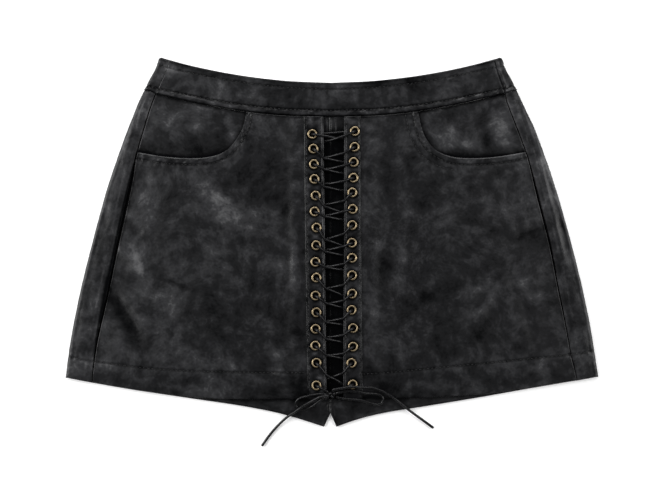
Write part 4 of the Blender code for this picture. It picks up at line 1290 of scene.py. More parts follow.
# Shares of the thickness: how deep troughs go in front and behind, and a wrapped rim's roundness.
DEEPEST = 0.55
DEEPEST_BEHIND = 0.62
WRAP_ROUNDNESS = 0.45

# The roundness, in millimetres, of a rim that is cut square.
SQUARE = 0.1

# How much lighter the raised folds are rubbed, and how much painted shade darkens the troughs.
FOLD_WEAR = 0.35
TROUGH_SHADE = 0.25


@dataclass
class Cloth:
    """A piece of cloth: what it is made of, how thick it is, how it lies, how it is worn and the light and
    shade painted on it.
    """

    half: Half
    finishes: Finishes
    node: str
    rests_on: tuple[str, ...] = ("floor",)
    thickness: float = CLOTH
    roundness: float = 0.55
    centre: tuple[float, float] = (0.0, 200.0)
    folds: tuple[Fold, ...] = ()
    wash_and_light_patches: tuple[WashAndLightPatch, ...] = FRONT_WASH_AND_LIGHT
    unevenness: float = 0.14
    seed: int = 3
    leather: str = "leather"

    def calm(self, points: Array) -> Array | float:
        """Share of the unevenness that there is, from 0 to 1."""
        return 1.0

    def rounded(self, points: Array) -> Array | float:
        """Roundness of the rim."""
        return self.roundness

    def declare(self, grids: tuple[Array, Array], masks: dict[str, Array], roundness: Array | float,
                rows: StitchRows, flat: tuple[float, float], area: float,
                holes: Array | None = None) -> bpy.types.Object:
        """Shell and stitches, put in the scene.

        Args:
            grids: outer and inner grids in metres.
            masks: wear and wash at the grid points, with painted light and shade.
            roundness: roundness of the rim.
            rows: rows of stitches.
            flat: width and length of the flat sheet in metres; not used.
            area: area of the cloth in square metres; not used.
            holes: plan points of holes, in metres.

        Returns:
            The shell.
        """
        shell = put(cloth_shell(self.node + "_cloth", *grids, masks, roundness, holes),
                    getattr(self.finishes, self.leather), Slot.LEATHER, self.node)
        if rows:
            put(stitch_mesh(self.node + "_stitches", rows), self.finishes.thread, Slot.LEATHER)
        return shell


@dataclass
class Panel(Cloth):
    """A piece lying flat, as heights over a grid of plan points.

    The top is the underside, the thickness and the relief, one upon the other.
    """

    rim: float = 0.3
    punched: bool = False
    seams: list[Seam] = field(default_factory=list)

    def plan(self) -> Array:
        """Grid of plan points."""
        raise NotImplementedError

    def underside(self, points: Array) -> Array:
        """Height of the underside before the relief."""
        raise NotImplementedError

    def sewn(self) -> list[Seam]:
        """The piece's sewn lines."""
        return []

    def room(self, points: Array) -> Array:
        """Share of a raised relief for which there is room, from 0 to 1."""
        return np.ones(points.shape[:-1])

    def extra(self, points: Array) -> Array:
        """Relief of the piece's own."""
        return np.zeros(points.shape[:-1])

    def relief(self, points: Array) -> Array:
        """Folds, seams and a soft unevenness, raised only where there is room."""
        height = folds_height(points, self.folds) + self.extra(points)
        height += self.calm(points) * self.unevenness * (
            ripple(points, 34.0, self.seed) + 0.5 * ripple(points, 13.0, self.seed + 1)
            + 0.25 * ripple(points, 5.5, self.seed + 2))
        for seam in self.seams:
            height += seam.height(points)
        return np.where(height > 0, height * self.room(points),
                        np.maximum(height, -DEEPEST * self.thickness))

    def top(self, points: Array) -> Array:
        """Height of the top."""
        return self.underside(points) + self.thickness + self.relief(points)

    def masks(self, points: Array) -> dict[str, Array]:
        """Wear and wash at plan points, with painted shade in the seams and troughs, and the piece's own
        painted light and shade.
        """
        outline = np.vstack([rim_of(points), points[:1, 0]])
        rim = distance_to(points, outline)
        wear = self.rim * bell(rim, 1.6) * (0.6 + 0.8 * ripple(points, 14.0, self.seed + 5))
        for seam in self.seams:
            wear += seam.wear(points)
        raised = folds_height(points, self.folds)
        # Raised folds are rubbed lighter; the troughs get painted shade.
        wear += FOLD_WEAR * np.clip(raised, 0, 1) - TROUGH_SHADE * np.clip(-raised, 0, 1)
        return {"wear": wear, "wash": self.washed(points, wash_and_light_strength(points, self.wash_and_light_patches))}

    def washed(self, points: Array, wash: Array) -> Array:
        """The wash, to which a piece adds its own painted shade; none here."""
        return wash

    def build(self) -> bpy.types.Object:
        """Make the panel."""
        self.seams = self.sewn()
        plan_points = self.plan()
        grids = (lift(plan_points, self.top(plan_points)), lift(plan_points, self.underside(plan_points)))
        eyes = lift(np.array([self.half.eyelet(row) for row in ROWS]), 0.0)[:, :2]
        rows = surface_rows(self.seams, rim_of(plan_points), self.top)
        size = np.ptp(plan_points.reshape(-1, 2), axis=0) * MM
        return self.declare(grids, self.masks(plan_points), self.rounded(plan_points), rows,
                            (float(size[0]), float(size[1])), surface_area(plan_points) * MM * MM,
                            eyes if self.punched else None)


def skirt_puff(half: Half, points: Array) -> Array:
    """How far the skirt front is puffed between its seams, from 0 to 1."""
    x, down = points[..., 0], points[..., 1]
    to_seam = half.sign * (half.side_seam(down) - x)
    across = smoothstep(*PUFF_IN, half.beyond("outer", points)) * smoothstep(*PUFF_OUT, to_seam)
    return across * smoothstep(*PUFF_FROM, down) * (1 - smoothstep(*PUFF_TO, down))


def skirt_height(half: Half, points: Array) -> Array:
    """Underside of the skirt front: raised over the cord and between its seams, lowered at the hem."""
    down = points[..., 1]
    laced = 1 - smoothstep(*BESIDE_LACING, half.beyond("outer", points))
    room = laced * smoothstep(*LACED_FROM, down) * (1 - smoothstep(*LACED_TO, down))
    drop = (1 - laced) * smoothstep(*HEM_FALL, down) + laced * smoothstep(*LACED_TO, down)
    return SKIRT_Z + LACE_ROOM * room + SKIRT_PUFF * skirt_puff(half, points) - HEM_DROP * drop


def along(line: Array, shares: Array) -> Array:
    """Points at shares of a polyline's length."""
    run = run_of(line)
    return np.stack([np.interp(shares * run[-1], run, line[:, k]) for k in range(2)], axis=1)


def hem_row(half: Half, x: Array) -> Array:
    """Plan points of the row of stitches that holds the hem, at some X."""
    down = read(HEM_ROW, "across", half.name, np.abs(x) / half.outline(315.0) * half.sign)
    return plan(x, down)


@dataclass
class SkirtFront(Panel):
    """One side of the skirt front, from its laced opening to the side seam."""

    gape: float = 0.495
    punched: bool = True

    def end_x(self, down: Array) -> Array:
        """X of the edge beside the side seam."""
        return self.half.side_seam(down) - self.half.sign * (GAP / 2 + self.half.opening(down))

    def plan(self) -> Array:
        """Between opening, waistband and pocket opening, side seam and hem."""
        half, inner = self.half, self.half.sign * PLACKET_SETBACK
        pocket = half.pocket(0.5)
        start_x = float(half.placket("inner", WAIST_LOW)) + inner
        waist_share = abs(pocket[0, 0] - start_x) / (abs(pocket[0, 0] - start_x) + POCKET_RUN)
        us = spaced(240.0, 1.9, [(0, 4, 1.0), (240.0 * waist_share, 6, 1.1), (240, 6, 0.8)])
        vs = spaced(270.0, 1.9, [(0, 8, 0.9), (242, 5, 1.0), (270, 3, 0.9)])
        on_waist = us <= waist_share
        waist_x = start_x + us[on_waist] / waist_share * (pocket[0, 0] - start_x)
        top = np.vstack([plan(waist_x, half.waist_seam(waist_x) + GAP),
                         along(pocket, (us[~on_waist] - waist_share) / (1 - waist_share))])
        top[-1, 0] = self.end_x(top[-1, 1])
        hem_start = float(half.placket("inner", half.skirt_hem(0.0))) + inner
        hem_end = half.side_seam(half.skirt_hem(1.0)) - half.sign * GAP / 2
        bottom = plan(hem_start + us * (hem_end - hem_start), half.skirt_hem(us))
        return patch(top, bottom, lambda down: half.placket("inner", down) + inner, self.end_x, us, vs)

    def underside(self, points: Array) -> Array:
        """The laid height, with the pocket's edge standing up a little."""
        lifted = bell(distance_to(points, self.half.pocket()), 7.0)
        return skirt_height(self.half, points) + self.gape * lifted

    def room(self, points: Array) -> Array:
        """No raised relief under the eyelet strip or under the bow's cords."""
        return smoothstep(-0.5, 3.0, self.half.beyond("outer", points)) * clear_of_bow(points)

    def extra(self, points: Array) -> Array:
        """The hem's doubled cloth: a step up below its row of stitches; and a dip beside the strip."""
        below = points[..., 1] - hem_row(self.half, points[..., 0])[..., 1]
        doubled = 0.3 * smoothstep(-0.9, 1.4, below)
        return doubled - 0.35 * bell(self.half.beyond("outer", points) - 2.0, 2.2)

    def sewn(self) -> list[Seam]:
        """The pocket opening's edge, the hem's row and the waist's pull."""
        half = self.half
        pocket = half.pocket()
        hem = hem_row(half, np.linspace(half.sign * 28.0, half.sign * 248.0, 90))
        waist_x = half.sign * np.linspace(12.0, 90.0, 50)
        waist = plan(waist_x, half.waist_seam(waist_x) + 1.4)
        rising, level = pocket[np.abs(pocket[:, 0]) < 114], pocket[np.abs(pocket[:, 0]) > 112]
        seams = [
            Seam(offset(level, 6.6, self.centre), level, inset=6.6, shade=1.6, rubbed=0.25, pucker=0.2,
                 seed=half.sign + 21),
            Seam(offset(rising, 6.0, self.centre), rising, inset=6.0, roll=0.25, shade=1.6, rubbed=0.05,
                 pucker=0.2, seed=half.sign + 23),
            Seam(hem, width=1.2, shade=1.9, pucker=0.14, beside=0.1, seed=half.sign + 31),
            Seam(waist, width=1.8, shade=1.2, pucker=0.2, stitched=False, seed=half.sign + 51),
        ]
        if half is RIGHT:
            seams.append(Seam(offset(pocket[:34], 13.0, self.centre), shade=0.9, pucker=0.1, seed=61))
        return seams

    def washed(self, points: Array, wash: Array) -> Array:
        """Painted shade along the side edge, most where it stands away from the seam, and above the middle of
        the hem.
        """
        x, down = points[..., 0], points[..., 1]
        gap = self.half.opening(down)
        inside = self.half.sign * (self.half.side_seam(down) - x) - gap
        over_hem = self.half.skirt_hem(np.abs(x) / 245.0) - down
        return (wash - (0.8 + 1.4 * smoothstep(0.2, 1.4, gap)) * bell(inside, 1.8)
                - bell(x, 95.0) * (1.1 * bell(over_hem, 12.0) + 1.2 * bell(over_hem, 2.5)))


@dataclass
class EyeletStrip(Panel):
    """The strip that carries the eyelets, on the skirt front's opening edge."""

    thickness: float = STRIP
    roundness: float = 0.45
    unevenness: float = 0.05
    rim: float = 0.0
    punched: bool = True

    def plan(self) -> Array:
        """Between the waistband, the hem and the strip's two edges."""
        half, hem = self.half, float(self.half.skirt_hem(0.0))
        us = spaced(20.0, 1.0, [(0, 2, 0.5), (20, 3, 0.5)])
        vs = spaced(283.0, 1.3, [])
        top_x = half.placket("inner", WAIST_LOW) + us * (half.placket("outer", WAIST_LOW)
                                                         - half.placket("inner", WAIST_LOW))
        top = plan(top_x, half.waist_seam(top_x) + GAP)
        bottom = plan(half.placket("inner", hem) + us * (half.placket("outer", hem)
                                                         - half.placket("inner", hem)), hem)
        return patch(top, bottom, lambda down: half.placket("inner", down),
                     lambda down: half.placket("outer", down), us, vs)

    def underside(self, points: Array) -> Array:
        """A little over the skirt front."""
        return skirt_height(self.half, points) + CLOTH + GAP

    def room(self, points: Array) -> Array:
        """Most of a raised relief, less of it under the bow, and none under the eyelets' flanges."""
        clear_of_eyes = smoothstep(4.6, 6.4, self.half.near_eyelet(points))
        return 0.75 * clear_of_eyes * (0.3 + 0.7 * clear_of_bow(points))

    def extra(self, points: Array) -> Array:
        """Pulled down round each eyelet."""
        return -0.3 * bell(self.half.near_eyelet(points) - 5.0, 1.5)

    def sewn(self) -> list[Seam]:
        """Rows of stitches beside both edges."""
        down = np.linspace(56.0, 344.0, 150)
        inner = plan(self.half.placket("inner", down), down)
        outer = plan(self.half.placket("outer", down), down)
        return [
            Seam(offset(inner, 2.6, tuple(outer[75])), inner, inset=2.6, roll=0.25, groove=0.2, width=0.7,
                 shade=0.7, rubbed=0.05, pucker=0.08, beside=0.0, seed=71),
            Seam(offset(outer, 2.2, tuple(inner[75])), outer, inset=2.2, roll=0.1, groove=0.2, width=0.7,
                 shade=0.6, rubbed=0.0, pucker=0.08, beside=0.0, seed=81),
        ]

    def washed(self, points: Array, wash: Array) -> Array:
        """A ripple of tone, and painted shade round the eyelets and along both edges."""
        near = self.half.near_eyelet(points)
        to_edge = np.minimum(*(np.abs(self.half.placket(edge, points[..., 1]) - points[..., 0])
                               for edge in ("inner", "outer")))
        return (wash + 0.8 * ripple(points, 9.0, self.seed + 7)
                - 2.6 * bell(near - 5.2, 1.3) - 1.3 * bell(to_edge, 1.1))


@dataclass
class PocketFacing(Panel):
    """The piece seen through the pocket opening."""

    unevenness: float = 0.12

    def plan(self) -> Array:
        """Between the waistband, the hidden lower edge and the side seam."""
        half, start_x = self.half, self.half.sign * FACING_INNER

        def end_x(down: Array | float) -> Array:
            """X of the edge at the side seam."""
            return half.side_seam(down) - half.sign * GAP / 2

        us = spaced(110.0, 1.8, [(110, 3, 0.9)])
        vs = spaced(62.0, 1.8, [(0, 3, 0.9)])
        top_x = start_x + us * (end_x(SIDE_LOW) - start_x)
        top = plan(top_x, half.waist_seam(top_x) + GAP)
        top[-1, 0] = end_x(top[-1, 1])
        low = read(FACING_EDGE, "across", "left", us)
        bottom = plan(start_x + us * (end_x(low[-1]) - start_x), low)
        return patch(top, bottom, lambda _: start_x, end_x, us, vs)

    def underside(self, points: Array) -> Array:
        """Level, under the skirt front and over the shorts."""
        return np.full(points.shape[:-1], FACING_Z)

    def behind_edge(self, points: Array) -> Array:
        """Distance from the pocket opening's edge, positive where the piece shows."""
        edge = self.half.pocket()
        low = np.interp(self.half.sign * points[..., 0], self.half.sign * edge[:, 0], edge[:, 1])
        return np.where(points[..., 1] < low, 1, -1) * distance_to(points, edge)

    def room(self, points: Array) -> Array:
        """Only where the piece shows."""
        return smoothstep(0.5, 7.0, self.behind_edge(points))

    def extra(self, points: Array) -> Array:
        """Bulging in the middle of what shows, and sunk towards the pocket's edge."""
        behind = self.behind_edge(points)
        return 0.55 * smoothstep(3, 22, behind) - 0.3 * bell(behind, 4.0)

    def sewn(self) -> list[Seam]:
        """Pulled in along the waistband."""
        half = self.half
        x = half.sign * np.linspace(80.0, 190.0, 60)
        return [Seam(plan(x, half.waist_seam(x) + 1.2), width=1.8, shade=1.8, pucker=0.18, stitched=False,
                     seed=91)]

    def washed(self, points: Array, wash: Array) -> Array:
        """Painted shadow where the pocket's edge overhangs."""
        behind = np.clip(self.behind_edge(points), 0, None)
        deep = 0.35 + 0.65 * smoothstep(104, 122, np.abs(points[..., 0]))
        return wash - deep * (3.4 * bell(behind, 2.4) + 1.0 * bell(behind, 9.0))


@dataclass
class ShortsFront(Panel):
    """Half of the shorts' front with its leg, seen through the laced opening and below the skirt."""

    unevenness: float = 0.1
    rim: float = 0.0
    leather: str = "shorts"

    def plan(self) -> Array:
        """Between the waistband, the leg's hem, the centre seam and the side."""
        half, tuck = self.half, self.half.sign * TUCK
        us = spaced(250.0, 2.4, [(0, 14, 1.0), (250, 4, 1.2)])
        top_down = half.waist_seam(half.side_seam(SIDE_LOW) + tuck)
        start_x = CENTRE_X + half.sign * CLOSED_GAP / 2
        top_x = start_x + us * (half.side_seam(top_down) + tuck - start_x)
        top = plan(top_x, half.waist_seam(top_x) + CLOSED_GAP)
        bottom_x = half.leg_tip + us * (half.side_seam(LENGTH) + tuck - half.leg_tip)
        bottom = plan(bottom_x, half.leg_hem_at(bottom_x))
        vs = spaced(bottom[0, 1] - top[0, 1], 2.2, [(bottom[0, 1] - top[0, 1], 26, 1.0)])
        return patch(top, bottom, half.inner_edge, lambda down: half.side_seam(down) + tuck, us, vs)

    def underside(self, points: Array) -> Array:
        """Level, over the back."""
        return np.full(points.shape[:-1], SHORTS_Z)

    def room(self, points: Array) -> Array:
        """None under the skirt front, but a share in the opening and on the leg below the hem."""
        x, down = points[..., 0], points[..., 1]
        opening = 0.35 * (1 - smoothstep(-3.0, 0.0, self.half.beyond("inner", points)))
        leg = smoothstep(0.0, 5.0, down - self.half.skirt_hem(np.abs(x) / 240.0)) * clear_of_bow(points)
        return np.maximum(opening, leg)

    def sewn(self) -> list[Seam]:
        """Ridges on both sides of the centre seam, and the roll of the leg's hem."""
        half = self.half
        down = np.linspace(60.0, 366.0, 150)
        inner = plan(half.inner_edge(down) + half.sign * 2.0, down)
        hem = half.leg_hem_line(np.linspace(0.0, 1.0, 80))
        return [
            Seam(inner, groove=-0.2, width=1.0, shade=0.4, pucker=0.05, stitched=False, seed=101),
            Seam(offset(hem, LEG_HEM_ROW, self.centre), shade=1.0, pucker=0.15, seed=103),
            Seam(offset(hem, 1.6, self.centre), groove=-0.25, width=1.3, shade=-0.5, pucker=0.05,
                 stitched=False, seed=105),
        ]

    def washed(self, points: Array, wash: Array) -> Array:
        """Painted shade where it lies deep: behind the open side seam, in the laced opening below its top,
        and just below the skirt's hem.
        """
        x, down = points[..., 0], points[..., 1]
        to_seam = np.abs(x - self.half.side_seam(down))
        beyond = self.half.beyond("inner", points)
        opening = (1 - smoothstep(-1.0, 4.0, beyond)) * (down < self.half.skirt_hem(0.0))
        beyond_hem = down - self.half.skirt_hem(np.abs(x) / 240.0)
        return (wash - 1.6 * bell(beyond_hem, 2.6) - 4.0 * bell(to_seam, 7.0) * (down < SEAM_LOW)
                - opening * (3.6 * smoothstep(66, 78, down) - 0.1))


@dataclass
class WaistbandFront(Panel):
    """The front of the waistband, between its two side seams."""

    thickness: float = BAND
    roundness: float = 0.9
    unevenness: float = 0.1
    rim: float = 0.0
    wash_and_light_patches: tuple[WashAndLightPatch, ...] = BAND_RUBS
    leather: str = "band"

    def plan(self) -> Array:
        """Rows follow the waist's curve between its upper and lower edges."""
        shares = spaced(34.0, 1.2, [(0, 10, 0.7), (34, 10, 0.7)])
        sides = []
        for half in HALVES:
            place = spaced(172.0, 1.6, [(172, 3, 0.9)])
            top = read(WAIST, "across", "upper", place * half.seam_reach(SIDE_HIGH))
            low = read(WAIST, "across", "lower", place * half.seam_reach(SIDE_LOW))
            down = top[None] + shares[:, None] * (low - top)[None]
            seam = half.side_seam(down) - half.sign * GAP / 2
            sides.append(plan(CENTRE_X + place[None] * (seam - CENTRE_X), down))
        return np.concatenate([sides[0][:, ::-1], sides[1][:, 1:]], axis=1)

    def share_down(self, points: Array) -> Array:
        """Share of the way down the band at plan points."""
        x, down = points[..., 0], points[..., 1]
        result = np.zeros(x.shape)
        for half in HALVES:
            across = (x - CENTRE_X) / (half.outline(20.0) - CENTRE_X)
            top, low = (read(WAIST, "across", edge, across) for edge in ("upper", "lower"))
            result = np.where(half.sign * (x - CENTRE_X) >= 0, (down - top) / (low - top), result)
        return np.clip(result, 0, 1)

    def underside(self, points: Array) -> Array:
        """Bowed up in the middle of its height."""
        return BAND_Z + BAND_PUFF * np.sin(np.pi * self.share_down(points))

    def calm(self, points: Array) -> Array:
        """Even at the left side seam, which doesn't show."""
        return smoothstep(0, 12, points[..., 0] - LEFT.side_seam(points[..., 1]))

    def rounded(self, points: Array) -> Array:
        """Rounded everywhere but at the left side seam."""
        rounded = np.full(points.shape[:-1], self.roundness)
        rounded[:, 0] = SQUARE
        return rounded

    def washed(self, points: Array, wash: Array) -> Array:
        """Painted shade along the upper and lower edges."""
        return wash + band_edge_shade(self.share_down(points))

    def sewn(self) -> list[Seam]:
        """Rows of stitches along both edges, with a rolled edge outside each, and the right side seam."""
        side = RIGHT.beside_seam(np.linspace(3.0, 38.0, 30), -2.2)
        return band_seams(self.centre) + [
            Seam(side, groove=-0.25, width=1.2, shade=-0.5, pucker=0.1, stitched=False, seed=117)]


def band_edge(edge: str, x: Array) -> Array:
    """Plan points of the waistband's upper or lower edge at some X, in order from left to right."""
    x = np.asarray(x, float)
    low_at = {"upper": 12.0, "lower": 45.0}[edge]
    across = np.where(x < CENTRE_X, (x - CENTRE_X) / (LEFT.outline(low_at) - CENTRE_X),
                      (x - CENTRE_X) / (RIGHT.outline(low_at) - CENTRE_X))
    return plan(x, read(WAIST, "across", edge, across))


def band_seams(centre: tuple[float, float]) -> list[Seam]:
    """The two sewn edges of the waistband."""
    upper = band_edge("upper", np.linspace(-178.0, 176.0, 240))
    lower = band_edge("lower", np.linspace(-192.0, 190.0, 240))
    return [
        Seam(offset(upper, 6.8, centre), upper, inset=6.8, roll=0.3, groove=0.25, width=1.0, shade=1.3,
             rubbed=0.1, pucker=0.14, beside=0.1, seed=111),
        Seam(offset(lower, 6.0, centre), lower, inset=6.0, roll=0.5, groove=0.3, width=1.5, shade=2.8,
             rubbed=0.7, pucker=0.15, beside=0.1, seed=113),
    ]


def band_edge_shade(share: Array) -> Array:
    """Painted shade along the waistband's two edges at shares of the way down it: dark within a millimetre or
    two.
    """
    return -1.6 * bell(share, 0.05) - 1.1 * bell(1 - share, 0.045)


class Columns(NamedTuple):
    """A wrapped layer's section by columns: share of the flat part, turn in degrees, share of the wrap."""

    flat: Array
    turn: Array
    wrap: Array

    @classmethod
    def of(cls, flat_part: Array, wrap_part: Array) -> "Columns":
        """The flat part, then the fold in 14 steps of turn, then the wrap."""
        fold = np.linspace(-90, 90, 15)[1:]
        return cls(np.concatenate([flat_part, np.ones(len(fold) + len(wrap_part))]),
                   np.concatenate([np.full(len(flat_part), -90.0), fold, np.full(len(wrap_part), 90.0)]),
                   np.concatenate([np.zeros(len(flat_part) + len(fold)), wrap_part]))

    def across(self, reach: float) -> Array:
        """Share of the way to the fold, where the wrap comes back to a share for the side seam."""
        return self.flat - (1 - reach) * self.wrap


@dataclass
class Wrapped(Cloth):
    """A layer that lies flat behind, turns round both side folds and comes forward to the side seams.

    In section it is a line on the surface, a half circle and a line that rises to the side seam. The
    relief moves its outer face along the section's normal, and only inwards where it lies on the surface.
    """

    radius: float = FOLD_RADIUS
    puff: float = WRAP_PUFF
    folds: tuple[Fold, ...] = WRAP_FOLDS
    unevenness: float = 0.12
    fold_wear: float = 0.12
    front_seams: list[Seam] = field(default_factory=list)
    back_seams: list[Seam] = field(default_factory=list)

    def front_relief(self, points: Array) -> Array:
        """Relief of what shows from the front."""
        height = folds_height(points, self.folds) + self.calm(points) * (
            self.unevenness * ripple(points, 20.0, self.seed)
            + self.unevenness / 2 * ripple(points, 7.0, self.seed + 1))
        return height + sum(seam.height(points) for seam in self.front_seams)

    def shadow(self, points: Array) -> Array | float:
        """The piece's own wash and painted shade in front."""
        return 0.0

    def rounded(self, points: Array) -> Array | float:
        """Roundness of the rim."""
        return WRAP_ROUNDNESS * self.thickness

    def back_relief(self, points: Array) -> Array:
        """Relief of the back, which lies on the surface: only troughs."""
        height = folds_height(points, BACK_FOLDS) - 0.42 + 0.16 * ripple(points, 30.0, self.seed + 2)
        height += 0.08 * ripple(points, 9.0, self.seed + 3)
        height += sum(seam.height(points) for seam in self.back_seams)
        return np.clip(height, -DEEPEST_BEHIND * self.thickness, 0.0)

    def faces(self, half: Half, down: Array, columns: Columns, inner_x: Array | float,
              seam_top: Array | float) -> tuple[Array, Array, Array, Array]:
        """Grids of one side.

        Args:
            half: the side of the garment.
            down: distance down at each grid point.
            columns: what each column is in the section.
            inner_x: X at which the flat part starts.
            seam_top: height of the outer face at the side seam.

        Returns:
            Outer and inner points in metres, plan points of the outer face, and the turn in degrees.
        """
        flat, turn, wrap = (np.broadcast_to(v[None], down.shape) for v in columns)
        fold_x = half.outline(down) - half.sign * self.radius
        seam_x = half.side_seam(down) + half.sign * GAP / 2
        middle_x = fold_x - (1 - flat) * (fold_x - inner_x) + wrap * (seam_x - fold_x)
        angle = np.radians(turn)
        rise = wrap * (seam_top - 2 * self.radius) + self.puff * np.sin(np.pi * wrap)

        def face(reach: Array) -> Array:
            """Points in metres at a distance from the middle of the fold."""
            height = np.maximum(self.radius + reach * np.sin(angle) + rise, 0.0)
            return lift(plan(middle_x + half.sign * reach * np.cos(angle), down), height)

        points = plan(middle_x + half.sign * (self.radius + 0 * down) * np.cos(angle), down)
        front = (np.sin(np.radians(turn)) + 1) / 2
        relief = front * self.front_relief(points) + (1 - front) * self.back_relief(points)
        return face(self.radius + relief), face(self.radius - self.thickness + 0 * down), points, turn

    def front_height(self, half: Half, points: Array, seam_top: Array | float) -> Array:
        """Height of the outer face at plan points on the wrap or the fold."""
        x, down = points[..., 0], points[..., 1]
        fold_x = half.outline(down) - half.sign * self.radius
        seam_x = half.side_seam(down) + half.sign * GAP / 2
        wrap = np.clip((x - fold_x) / (seam_x - fold_x), 0, 1)
        out = np.clip(half.sign * (x - fold_x) / self.radius, 0, 0.98)
        rise = wrap * (seam_top - 2 * self.radius) + self.puff * np.sin(np.pi * wrap)
        return self.radius + self.radius * np.sqrt(1 - out**2) + rise + self.front_relief(points)

    def make(self, outer: Array, inner: Array, plan_points: Array, turn: Array,
             rows: StitchRows) -> bpy.types.Object:
        """Wear, wash and size of the layer, and the finished piece; the wear and the wash hold painted light
        and shade.

        Args:
            outer: outer grid in metres.
            inner: inner grid in metres.
            plan_points: plan points of the outer grid.
            turn: turn of each column in degrees.
            rows: rows of stitches.

        Returns:
            The shell.
        """
        front = (np.sin(np.radians(turn)) + 1) / 2
        # The seams' wear carries their painted shade.
        wear_front = sum(seam.wear(plan_points) for seam in self.front_seams)
        wear_back = sum(seam.wear(plan_points) for seam in self.back_seams)
        raised = folds_height(plan_points, self.folds)
        wear = front * (wear_front + 0.3 * np.clip(raised, 0, 1)) + (1 - front) * wear_back
        fold = bell(turn - 35.0, 60.0) * (np.abs(turn) < 89.9)
        wear = wear + self.fold_wear * fold * (0.7 + 0.5 * ripple(plan_points, 22.0, self.seed + 7))
        # The patches hold painted highlights and shade; the piece's own shadow is painted shade.
        wash = front * (wash_and_light_strength(plan_points, self.wash_and_light_patches) + self.shadow(plan_points))
        wash = wash + (1 - front) * wash_and_light_strength(plan_points, BACK_RUBS)
        across = float(np.linalg.norm(np.diff(outer, axis=1), axis=-1).sum(1).max())
        length = float(np.ptp(outer[..., 1]))
        return self.declare((outer, inner), {"wear": wear, "wash": wash}, self.rounded(plan_points), rows,
                            (across, length), min(surface_area(outer), across * length))


@dataclass
class BackPanel(Wrapped):
    """Half of the back: flat on the surface, its side wrapped forward to the side seam."""

    def shadow(self, points: Array) -> Array:
        """A little lighter than the front, and painted shadow beside the side seam, as wide as the table
        says.
        """
        x, down = points[..., 0], points[..., 1]
        reach = read(SEAM_SHADE, "across", self.half.name, down)
        out = self.half.sign * (x - self.half.side_seam(down))
        return 0.5 - 4.7 * smoothstep(0.1, 0.6, reach) * (1 - smoothstep(0.6 * reach, 1.7 * reach + 0.3, out))

    def sewn(self) -> None:
        """The hem's rows, the ridge beside the side seam, and the centre-back seam."""
        half = self.half
        hem = half.leg_hem_line(np.linspace(0.03, 1.0, 90))
        down = np.linspace(44.0, SEAM_LOW, 140)
        piping, second, fold_line = (half.beside_seam(down, 2.4), half.beside_seam(down, 7.6),
                                     half.inside_fold(down, 3.0))
        centre_down = np.linspace(62.0, 352.0, 150)
        centre = plan(half.inner_edge(centre_down) + half.sign * 5.0, centre_down)
        self.front_seams = [
            Seam(hem_row(half, half.sign * np.linspace(225.0, 268.0, 24)), width=1.2, pucker=0.2, seed=211),
            Seam(piping, groove=-0.22, width=1.5, shade=-0.2, pucker=0.12, stitched=False, seed=213),
            Seam(second, groove=-0.22, width=1.3, shade=-0.5, pucker=0.1, stitched=False, seed=215),
            Seam(fold_line, groove=-0.18, width=1.2, shade=-0.3, pucker=0.12, stitched=False, seed=217),
        ]
        self.back_seams = [
            Seam(offset(hem, LEG_HEM_ROW, self.centre), width=1.2, shade=1.0, pucker=0.1, seed=221),
            Seam(centre, width=1.0, shade=1.0, pucker=0.1, seed=223),
        ]

    def build(self) -> bpy.types.Object:
        """Make the half back."""
        half = self.half
        self.sewn()
        columns = Columns.of(spaced(240.0, 2.6, [(0, 8, 1.2), (240, 2, 1.4)]),
                             spaced(24.0, 1.2, [(24, 5, 0.7)])[1:])
        crotch = (CROTCH_DOWN - WAIST_LOW) / (LENGTH - WAIST_LOW)
        shares = np.unique(np.append(spaced(310.0, 2.2, [(310, 26, 1.2)]), crotch))
        top = read(WAIST, "across", "lower", columns.across(half.seam_reach(SIDE_LOW))) + CLOSED_GAP
        hem = half.leg_hem(columns.across(half.seam_reach(LENGTH)))
        down = top[None] + shares[:, None] * (hem - top)[None]
        seam_top = FACING_Z + CLOTH
        return self.make(*self.faces(half, down, columns, half.inner_edge(down), seam_top),
                         self.rows(seam_top))

    def rows(self, seam_top: float) -> StitchRows:
        """Rows of stitches on the wrap and on the back."""
        half = self.half
        down = np.linspace(50.0, SEAM_LOW, 60)
        wrap = np.vstack([half.inside_fold(down, 0.6), half.beside_seam(down, 0.2)[::-1]])
        rows = surface_rows(self.front_seams, wrap, lambda p: self.front_height(half, p, seam_top))
        hem = half.leg_hem_line(np.linspace(0.0, 1.0, 40))
        behind = np.vstack([plan(half.inner_edge(down), down), hem[:-1], half.inside_fold(down, 4.0)[::-1]])
        return rows + surface_rows(self.back_seams, behind, lambda p: -self.back_relief(p) + 0.05, -1)


